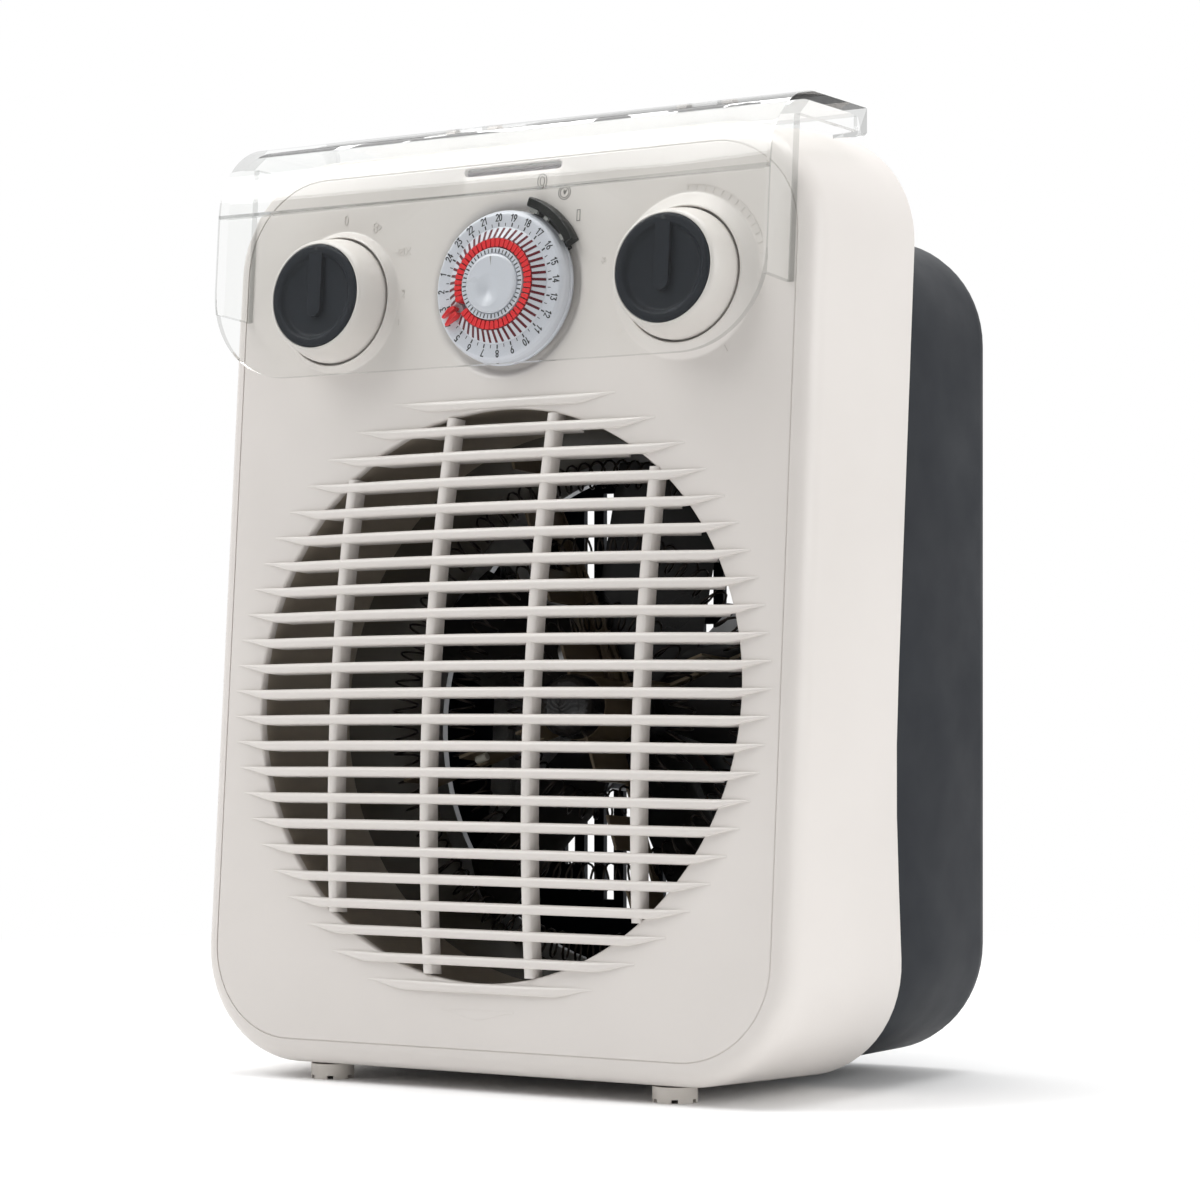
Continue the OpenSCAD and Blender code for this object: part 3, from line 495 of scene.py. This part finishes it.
def panel(bm):
    """Flat face with a round-edged rim, the outlet, the dished seats of the controls and a slot."""

    def rim(inset, w):
        return flat_ring(bm, round_rect(
            PANEL["hw"] - inset, PANEL["lo"] + inset, PANEL["hi"] - inset, PANEL["r"] - inset), w)

    def well(r, cx, cy, w, n):
        return flat_ring(bm, ring_points(r, n, cx, cy), w)

    edges = [(RIM_INSET, 0), (0.36, -0.03), (0.2, -0.1), (0.08, -0.22), (0.0, -0.34), (-0.24, -0.38),
             (-0.24, -0.6), (0.0, -0.7), (0.0, -THICK), (2, -THICK)]
    dish = [(DISH_R, 0), (29.6, -0.03), (28.7, -0.18), (27.9, -0.6), (27.2, -1.3), (26.6, -1.95),
            (25.9, -2.3), (25.2, -2.38), (24, -2.4), (9.1, -2.4), (9.1, -4.8)]
    bosses = {}
    for side, (base, high) in BOSSES.items():
        slope = softened([(base + BOSS_FOOT, 0), (base, 0.04), (HOLE_R + 0.55, high), (HOLE_R, high - 0.05),
                          (HOLE_R, 0.02), (HOLE_R - 1.5, 0)], 0.6)
        bosses[side] = slope + [(3.5, 0), (3.5, -THICK)]
    outlet = [(OUTLET_EDGE, 0), (92.7, -0.05), (92.35, -0.25), (OUTLET_R, -0.7), (OUTLET_R, -THICK)]
    strips = [[rim(*e) for e in edges]]
    strips += [[well(r, 0, DIAL_V, w, 128) for r, w in dish]]
    strips += [[well(r, side * KNOB_U, KNOB_V, w, 128) for r, w in bosses[side]] for side in (-1, 1)]
    strips += [[well(r, 0, 0, w, 192) for r, w in outlet]]
    strips += [[flat_ring(bm, slot_outline(g), w)
                for g, w in ((SLOT_EDGE, 0), (0.1, -0.04), (0.02, -0.2), (0, -THICK))]]
    for rings in strips:
        stitch(bm, rings)
    loops = [rings[0] for rings in strips]
    back = FACE.inverted()
    verts = [v for loop in loops for v in loop]
    flat = [Vector((back @ v.co)[:2]) for v in verts]
    borders, start = [], 0
    for loop in loops:
        n = len(loop)
        borders += [(start + i, start + (i + 1) % n) for i in range(n)]
        start += n
    pts, _, tris, orig, _, _ = delaunay_2d_cdt(flat, borders, [], 0, 1e-6)
    holes = [((0, DIAL_V), DISH_R), ((0, 0), OUTLET_EDGE)]
    holes += [((side * KNOB_U, KNOB_V), base + BOSS_FOOT) for side, (base, _) in BOSSES.items()]
    hw, hi, r = (PANEL[key] - RIM_INSET for key in ("hw", "hi", "r"))
    lo = PANEL["lo"] + RIM_INSET
    for tri in tris:
        c = sum((pts[i] for i in tri), Vector((0, 0))) / 3
        if any((c - Vector(p)).length < rad * 0.9999 - 0.02 for p, rad in holes):
            continue
        if math.hypot(max(0.0, abs(c.x) - SLOT_HALF), c.y - SLOT_V) < SLOT_R + SLOT_EDGE - 0.01:
            continue
        qx = max(0.0, abs(c.x) - (hw - r))
        qy = max(0.0, (lo + r) - c.y, c.y - (hi - r))
        if math.hypot(qx, qy) > r:
            continue
        bm.faces.new([verts[orig[i][0]] for i in tri])


make("front_panel", panel)

# ---------- outlet grille ----------

DOME_H = 9.77
DOME_R = 103.15
LOUVRE_T = 3.2
PITCH = 8.525


def dome(u, v):
    return DOME_H * (1 - (u * u + v * v) / DOME_R ** 2)


def blade(bm, stations, section):
    """Sweeps a section over stations and closes both ends."""
    rings = [[bm.verts.new(on_face() @ Vector(p)) for p in section(s)] for s in stations]
    stitch(bm, rings)
    bm.faces.new(rings[0])
    bm.faces.new(rings[-1])


def louvre(bm, top):
    mid = top - LOUVRE_T / 2
    reach = math.sqrt(DOME_R ** 2 - mid ** 2) - 0.3
    stations = [reach * math.sin(math.pi / 2 * i / 28) for i in range(-28, 29)]

    def section(u):
        left = reach - abs(u)
        t = LOUVRE_T * (0.2 + 0.8 * step(0, 15, left))
        front = max(0.12, dome(u, mid))
        inside = math.hypot(u, mid) < OUTLET_R - 1.6
        rear = front - 8 if inside else 0.02
        nose = min(t / 2, (front - rear) * 0.8)
        low = top - t
        path = [(top, rear)]
        path += [(top - t / 2 + t / 2 * math.cos(a), front - nose + nose * math.sin(a))
                 for a in (math.pi / 2 * k / 5 for k in range(0, 11))]
        path += [(low, rear)]
        return [(u, v, w) for v, w in path]

    blade(bm, stations, section)


def rib(bm, u):
    reach = math.sqrt((OUTLET_R - 0.3) ** 2 - u * u)
    stations = [reach * math.sin(math.pi / 2 * i / 24) for i in range(-24, 25)]

    def section(v):
        front = dome(u, v) - 0.9
        rear = front - 6.1
        half = 1.74
        return [(u - half, v, rear), (u - half, v, front - 1.0), (u - half * 0.72, v, front - 0.25),
                (u, v, front), (u + half * 0.72, v, front - 0.25), (u + half, v, front - 1.0),
                (u + half, v, rear)]

    blade(bm, stations, section)


def grille(bm):
    for i in range(24):
        louvre(bm, 95.5 - i * PITCH)
    for u in (-58.1, -19.4, 19.4, 58.1):
        rib(bm, u)


make("outlet_grille", grille, angle=50)

# ---------- knobs ----------


def collar(u):
    profile = softened(
        [(0, 1.0), (20.4, 1.0), (20.7, 4.5), (18.9, 12.4), (18.35, 13.6), (17.7, 14.25), (17.06, 14.3),
         (17.06, 12.6), (0, 12.6)], 1.0)
    return lambda bm: spin(bm, profile, control(u), 160)


def cap(u):
    """Dished face inside a flat rim and a raised grip bar with a round foot; the pointer on the rim is a
    separate detail.
    """

    def height(x, y):
        r = math.hypot(x, y)
        rim = 14.75 - 0.35 * step(16.3, 17.0, r)
        return 13.0 + (rim - 13.0) * step(12.9, 14.5, r) + 0.25 * step(0, 12.9, r) * (1 - step(12.9, 14.5, r))

    radii = [2, 4, 6, 8, 10, 12, 12.9, 13.2, 13.5, 13.8, 14.1, 14.5, 15, 15.6, 16.3, 16.6, 16.85, 17.0]

    def draw(bm):
        relief(bm, radii, height, 12.44, control(u), 128)
        foot = arc(-0.2, -4.2, 2.7, 2.7, 180, 360, 16)
        prism(bm, foot + [(2.5, 14.4), (-2.9, 14.4)], 12.6, 14.72, control(u))

    return draw


def pointer(u):
    return lambda bm: prism(bm, [(-0.9, 15.1), (0.9, 15.1), (0, 16.5)], 14.6, 14.79, control(u))


for part, u in (("function", -KNOB_U), ("thermostat", KNOB_U)):
    make(part + "_collar", collar(u), angle=50)
    make(part + "_cap", cap(u), bevel=0.35, angle=40)
    detail(part + "_pointer", part + "_cap", pointer(u), "print_black")

# ---------- timer ----------

ZERO = 92.0
STEP = 7.5
SET = (15, 16)
SLOPE_R = 18.9
SLOPE_RISE = 0.71
DISC_W = 5.5
POCKET_W = 5.3
PRINT_W = 5.53
TAPPET_W = 8.88
TAPPET_TRAVEL = 4


def slope_w(r):
    """Height of the sloping ring that the tappets' fins lie on."""
    return DISC_W + SLOPE_RISE * (SLOPE_R - r)


def slope_ring(bm, r, steps):
    """Circle on the sloping ring, dropping into a pocket at the two set tappets."""
    middle = ZERO + STEP * (SET[0] + SET[1]) / 2
    ring = []
    for i, (x, y) in enumerate(ring_points(r, steps)):
        off = abs((360 * i / steps - middle + 180) % 360 - 180)
        w = slope_w(r)
        w += (POCKET_W - w) * (1 - step(7.9, 8.3, off))
        ring.append(bm.verts.new(control() @ Vector((x, y, w))))
    return ring


def disc_body(bm):
    n = 360
    outside = softened(
        [(24.9, -0.6), (25.15, -0.25), (25.15, 0.85), (24.75, 1.05), (24.75, 1.45), (25.0, 1.7),
         (24.7, 3.6), (24.1, 4.8), (23.3, 5.42), (22.4, DISC_W), (18.95, DISC_W)], 0.2)
    inside = softened([(14.95, 3.25), (11.65, 3.25), (11.6, 9.2), (9.85, 9.2), (9.8, 8.7), (9.0, 8.7)], 0.12)

    def ring(r, w):
        return [bm.verts.new(control() @ Vector((x, y, w))) for x, y in ring_points(r, n)]

    rings = [[bm.verts.new(control() @ Vector((0, 0, -0.6)))]]
    rings += [ring(r, w) for r, w in outside]
    rings += [slope_ring(bm, r, n) for r in (SLOPE_R, 18.0, 17.0, 16.0, 15.3, 15.05, 14.97)]
    rings += [ring(r, w) for r, w in inside]
    rings.append([bm.verts.new(control() @ Vector((0, 0, 8.7)))])
    stitch(bm, rings)


def disc_scale(bm):
    """Hour numbers, half-hour ticks and the inner ring of ticks."""
    for i in range(48):
        a = ZERO + i * STEP
        hour = i % 2 == 0
        at = control(turn=a)
        outer, inner, end = (0.25, 0.24, 20.5) if hour else (0.13, 0.17, 20.3)
        box(bm, (19.2, -outer, 5.45), (end, outer, PRINT_W), at)
        box(bm, (9.95, -inner, 9.1), (11.35, inner, 9.22), at)
        if hour:
            h = (20 + i // 2 - 1) % 24 + 1
            place = control(turn=a - 90) @ Matrix.Translation((0, 22.1, 0))
            number(bm, str(h), 2.15, 0.36, 5.4, PRINT_W, place)


def head(bm, turn):
    """Wedge-shaped head of a fixed tappet."""
    outline = [(12.0, -0.5), (12.4, -0.62), (14.6, -0.79), (14.7, -0.72), (14.7, 0.72), (14.6, 0.79),
               (12.4, 0.62), (12.0, 0.5)]
    prism(bm, outline, 3.24, TAPPET_W, control(turn=turn))


def fin(bm, turn):
    """Thin fin that lies in the sloping ring."""
    at = control(turn=turn)
    rings = [[bm.verts.new(at @ Vector((r, y, slope_w(r) + d))) for r, d in
              ((14.5, -0.1), (18.6, -0.1), (18.6, 0.1), (14.5, 0.14))] for y in (-0.43, 0.43)]
    stitch(bm, rings)
    bm.faces.new(rings[0])
    bm.faces.new(rings[1])


def set_tappet(bm, turn):
    """Head and fin of a pushed-out tappet in one tapering piece, sloping down outwards."""
    at = control(turn=turn) @ Matrix.Translation((TAPPET_TRAVEL, 0, 0))
    side = [(12.0, 0.45), (12.4, 0.62), (14.4, 0.78), (15.2, 0.6), (18.2, 0.42), (18.6, 0.25)]
    outline = [(x, -y) for x, y in side] + [(x, y) for x, y in reversed(side)]
    rings = [[bm.verts.new(at @ Vector((x, y, 5.82))) for x, y in outline],
             [bm.verts.new(at @ Vector((x, y, TAPPET_W - 0.5 * max(0.0, x - 14.6)))) for x, y in outline]]
    stitch(bm, rings)
    bm.faces.new(rings[0])
    bm.faces.new(rings[1])


def fixed_turns():
    return [ZERO + i * STEP for i in range(48) if i not in SET]


make("timer_dial", disc_body, angle=30)
detail("timer_scale", "timer_dial", disc_scale, "print_black")
make("tappets", lambda bm: [head(bm, a) for a in fixed_turns()], bevel=0.14)
detail("tappet_fins", "tappets", lambda bm: [fin(bm, a) for a in fixed_turns()], "maroon_plastic")
for k, part in enumerate(("tappet_a", "tappet_b")):
    turn = ZERO + SET[k] * STEP
    make(part, lambda bm: set_tappet(bm, turn), bevel=0.14)


def hub(bm):
    """Thin button with a shallow thumb hollow and a small lip under it."""

    def height(x, y):
        dx, dy = x + 1.3, y + 1.9
        d = math.hypot(dx / 5.0, dy / 5.6)
        below = step(0.2, 0.9, -dy / max(0.01, math.hypot(dx, dy)))
        lip = 0.14 * max(0.0, 1 - abs(d - 1.02) / 0.15) * below
        return min(10.19, 10.05 - 0.95 * (1 - step(0, 1, d)) + lip - 0.4 * step(8.9, 9.6, math.hypot(x, y)))

    relief(bm, [9.6 * i / 26 for i in range(1, 27)], height, 8.75, control(), 96)


make("dial_hub", hub, angle=60)
detail("hub_pointer", "dial_hub", lambda bm: prism(
    bm, [(5.6, -0.12), (8.7, -0.34), (8.7, 0.34)], 9.9, 10.08, control(turn=ZERO)), "lever_grey")


LEVER_FROM = 27
LEVER_SPAN = 44
LEVER_RIBS = ((53.5, 1.7), (34, 2.2), (66, 3.4))


def lever(bm):
    """Stepped tab past the disc's edge with a raised outer wall, on a plate under the disc."""
    section = [(13.5, -1.9), (25.9, -1.9), (25.9, 0.32), (30.1, 0.32), (30.28, 0.6), (30.0, 3.9),
               (29.6, 4.35), (27.4, 4.35), (26.9, 3.9), (26.8, 1.8), (25.5, 1.65), (25.5, -1.0), (13.5, -1.0)]
    n = 28
    rings = []
    for i in range(n + 1):
        a = math.radians(LEVER_FROM + LEVER_SPAN * i / n)
        rings.append([bm.verts.new(control() @ Vector((r * math.cos(a), r * math.sin(a), w)))
                      for r, w in section])
    stitch(bm, rings)
    bm.faces.new(rings[0])
    bm.faces.new(rings[-1])
    rings = [[bm.verts.new(control() @ Vector((x, y, w))) for x, y in ring_points(r, 64)]
             for r, w in ((9.1, -1.9), (14, -1.9), (14, -1.0), (9.1, -1.0), (9.1, -1.9))]
    stitch(bm, rings)


make("timer_lever", lever, bevel=0.15, angle=40)
detail("lever_ribs", "timer_lever", lambda bm: [
    box(bm, (25.6, -w / 2, 1.5), (26.95, w / 2, 3.0), control(turn=a)) for a, w in LEVER_RIBS], "lever_grey")

# ---------- moulded marks ----------


def marks(bm):
    """Low symbols round both knobs: positions, a small fan, warm air, a scale of ticks."""
    hi = 0.16

    def around(cu, angle, r):
        a = math.radians(angle)
        return on_face(cu + r * math.cos(a), KNOB_V + r * math.sin(a))

    number(bm, "0", 3.0, 0.36, 0, hi, around(-KNOB_U, 88, 27.7))
    at = around(-KNOB_U, 61, 27.9)
    for k in range(3):
        stroke(bm, arc(0.9 * math.cos(TAU * k / 3), 0.9 * math.sin(TAU * k / 3), 0.8, 0.8, 0, 360, 10),
               0.3, 0, hi, at)
    at = around(-KNOB_U, 33, 28.6)
    stroke(bm, [(-1.1, -1), (1.1, -1), (1.1, 1), (-1.1, 1), (-1.1, -1)], 0.32, 0, hi, at)
    stroke(bm, [(-1.1, -1), (1.1, 1)], 0.3, 0, hi, at)
    stroke(bm, [(-3.2, 0), (-1.5, 0)], 0.32, 0, hi, at)
    stroke(bm, [(1.9, -1.1), (3.6, 1.1)], 0.32, 0, hi, at)
    stroke(bm, [(1.9, 1.1), (3.6, -1.1)], 0.32, 0, hi, at)
    number(bm, "2", 2.4, 0.34, 0, hi, around(-KNOB_U, 3.5, 25.5))
    number(bm, "1", 1.8, 0.3, 0, hi, around(-KNOB_U, -18, 25.2))
    scale = control(KNOB_U)
    stroke(bm, arc(0, 0, 28.9, 28.9, 10, 92, 40), 0.32, 0, hi, scale)
    for i in range(13):
        at = control(KNOB_U, 0, 91 - 6.6 * i)
        stroke(bm, [(27.3 - 0.03 * i, 0), (28.8, 0)], 0.3, 0, hi, at)
    for a, r in ((-17, 27.3), (-57, 27.3)):
        stroke(bm, [(r, 0), (r + 1.8, 0)], 0.4, 0, hi, control(KNOB_U, 0, a))
    at = around(KNOB_U, 167, 31.3)
    for k in range(3):
        stroke(bm, [(-1.1, 0), (1.1, 0)], 0.28, 0, hi, at @ Matrix.Rotation(math.pi * k / 3, 4, "Z"))
    stroke(bm, [(-0.5, 0), (0.5, 0)], 0.8, 0, hi, around(KNOB_U, 214, 28.8))


def lever_signs(bm):
    """Outlined off, clock and on signs of the timer lever, in grey that is painted shade for their embossed
    outlines.
    """
    hi = 0.06

    def at(angle, r):
        a = math.radians(angle)
        return on_face(r * math.cos(a), DIAL_V + r * math.sin(a))

    for rx, ry in ((1.75, 2.35), (0.85, 1.45)):
        stroke(bm, arc(0, 0, rx, ry, 0, 360, 28), 0.24, 0, hi, at(71, 36))
    place = at(55.5, 36)
    for r in (2.25, 1.65):
        stroke(bm, arc(0, 0, r, r, 0, 360, 28), 0.24, 0, hi, place)
    hands = [(-0.1, -0.7), (0.25, -0.6), (1.1, 0.95), (0.1, 0.5), (-0.25, 1.25), (-0.45, 0.2)]
    prism(bm, hands, 0, hi, place)
    bar = [(-0.55, -1.75), (0.55, -1.75), (0.55, 1.75), (-0.55, 1.75), (-0.55, -1.75)]
    stroke(bm, bar, 0.24, 0, hi, at(40, 34))


make("scale_marks", marks)
detail("lever_signs", "scale_marks", lever_signs, "mark_painted_shade_and_reflection")

# ---------- indicator ----------


def lens(bm):
    prism(bm, slot_outline(-0.04), -2.9, -1.9, on_face())


def lens_shade(bm):
    """Grey strip over the upper part of the window, a painted reflection on the lens."""
    box(bm, (-18.3, SLOT_V + 0.3, -1.95), (18.3, SLOT_V + 1.3, -1.2), on_face())


make("indicator_lens", lens)
# Painted reflection: a grey strip over the top of the red window.
detail("indicator_painted_reflection", "indicator_lens", lens_shade, "mark_painted_shade_and_reflection")

# ---------- heating coils ----------


COIL_AMP = 4.6
COIL_HALF = 3.5
COIL_WIRE = 0.42
COIL_W = -66


def coil(bm, radius, turns):
    """Wire wound round a ring: a circle of helical turns."""
    n = turns * 12
    rings = []
    for i in range(n):
        a = TAU * i / n
        p = TAU * i * turns / n
        out = Vector((math.cos(a), math.sin(a), 0))
        centre = out * (radius + COIL_AMP * math.cos(p)) + Vector((0, 0, COIL_W + COIL_HALF * math.sin(p)))
        along = Vector((-math.sin(a), math.cos(a), 0)) * radius / turns \
            + out * (-COIL_AMP * math.sin(p)) + Vector((0, 0, COIL_HALF * math.cos(p)))
        along.normalize()
        side = along.cross(out).normalized()
        top = side.cross(along)
        rings.append([bm.verts.new(on_face() @ (centre + COIL_WIRE * (side * math.cos(t) + top * math.sin(t))))
                      for t in (TAU * k / 5 for k in range(5))])
    stitch(bm, rings + rings[:1])


def coils(bm):
    for radius, turns in ((32, 40), (56, 72), (80, 104)):
        coil(bm, radius, turns)


make("heating_ribbons", coils, angle=180)

# ---------- everything else keeps its own shape ----------

DONE = {n for o in bpy.data.objects for n in o.get("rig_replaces", [])}
BEVELS = {
    "timer_cover": 0.5, "heating_ribbons": 0, "front_shell": 0.8, "rear_housing": 0.5, "hinge_pins": 0.1,
    "dial_gear": 0.05, "timer_pinion": 0.05, "front_feet": 0.3, "rear_feet": 0.3}
for node in SLOTS:
    if node not in DONE:
        piece = refine(node, BEVELS.get(node, 0.25))
        if node == "timer_cover":
            narrow_sides(piece, "clear_edge_painted_shade", 3.0)

# ---------- floor, light and camera ----------

LIT_POINT = (0, 0, 0.15)


def floor():
    mesh = bpy.data.meshes.new("floor")
    r = 9.0
    mesh.from_pydata([(-r, -r, 0), (r, -r, 0), (r, r, 0), (-r, r, 0)], [], [(0, 1, 2, 3)])
    o = bpy.data.objects.new("floor", mesh)
    bpy.context.scene.collection.objects.link(o)
    s = Shader("floor_paper", Base_Color=(0.93, 0.93, 0.93, 1), Roughness=0.7)
    s.bump(60.0, 0.02)
    coords = s.node("ShaderNodeTexCoord")
    length = s.node("ShaderNodeVectorMath", operation="LENGTH")
    fade = s.node("ShaderNodeMapRange", interpolation_type="SMOOTHSTEP")
    fade.inputs["From Min"].default_value = 0.25
    fade.inputs["From Max"].default_value = 0.75
    glow = s.node("ShaderNodeEmission", Strength=1.0)
    mix = s.node("ShaderNodeMixShader")
    s.link(coords.outputs["Object"], length.inputs[0])
    s.link(length.outputs["Value"], fade.inputs["Value"])
    s.link(fade.outputs["Result"], mix.inputs["Fac"])
    s.link(s.bsdf.outputs["BSDF"], mix.inputs[1])
    s.link(glow.outputs["Emission"], mix.inputs[2])
    s.link(mix.outputs["Shader"], s.tree.nodes["Material Output"].inputs["Surface"])
    mesh.materials.append(s.mat)


def area_light(name, place, size, power):
    data = bpy.data.lights.new(name, "AREA")
    data.shape = "RECTANGLE"
    data.size, data.size_y = size
    data.energy = power
    o = bpy.data.objects.new(name, data)
    bpy.context.scene.collection.objects.link(o)
    o.location = place
    o.rotation_euler = (Vector(LIT_POINT) - Vector(place)).to_track_quat("-Z", "Y").to_euler()


def studio(front, back):
    """White surroundings behind the heater and dimmer ones in front, seen as a white backdrop all round."""
    world = bpy.data.worlds.new("studio")
    bpy.context.scene.world = world
    world.use_nodes = True
    tree = world.node_tree
    coords = tree.nodes.new("ShaderNodeTexCoord")
    split = tree.nodes.new("ShaderNodeSeparateXYZ")
    ramp = tree.nodes.new("ShaderNodeMapRange")
    ramp.interpolation_type = "SMOOTHSTEP"
    ramp.inputs["From Min"].default_value = -0.35
    ramp.inputs["From Max"].default_value = 0.35
    ramp.inputs["To Min"].default_value = front
    ramp.inputs["To Max"].default_value = back
    tree.links.new(coords.outputs["Generated"], split.inputs["Vector"])
    tree.links.new(split.outputs["Y"], ramp.inputs["Value"])
    path = tree.nodes.new("ShaderNodeLightPath")
    strength = tree.nodes.new("ShaderNodeMath")
    strength.operation = "MAXIMUM"
    tree.links.new(ramp.outputs["Result"], strength.inputs[0])
    tree.links.new(path.outputs["Is Camera Ray"], strength.inputs[1])
    tree.links.new(strength.outputs["Value"], tree.nodes["Background"].inputs["Strength"])
    tree.nodes["Background"].inputs["Color"].default_value = (1, 1, 1, 1)


floor()
studio(0.35, 1.0)
area_light("key", (-1.05, -0.85, 1.75), (1.2, 1.2), 26)
area_light("fill", (1.9, 0.2, 0.7), (1.2, 1.2), 11)
area_light("top", (0.0, 0.1, 1.9), (1.4, 1.0), 20)

camera = bpy.data.cameras.new("camera")
camera.sensor_width = 36
camera.lens = 102.24
camera.shift_y = 0.0939
camera.clip_start = 0.01
rig = bpy.data.objects.new("camera", camera)
rig.location = (0.60987, -0.96600, 0.12059)
rig.rotation_euler = (math.radians(90), 0, math.radians(32.227))
bpy.context.scene.collection.objects.link(rig)
bpy.context.scene.camera = rig
bpy.context.scene.view_settings.view_transform = "Standard"

bpy.context.view_layer.update()
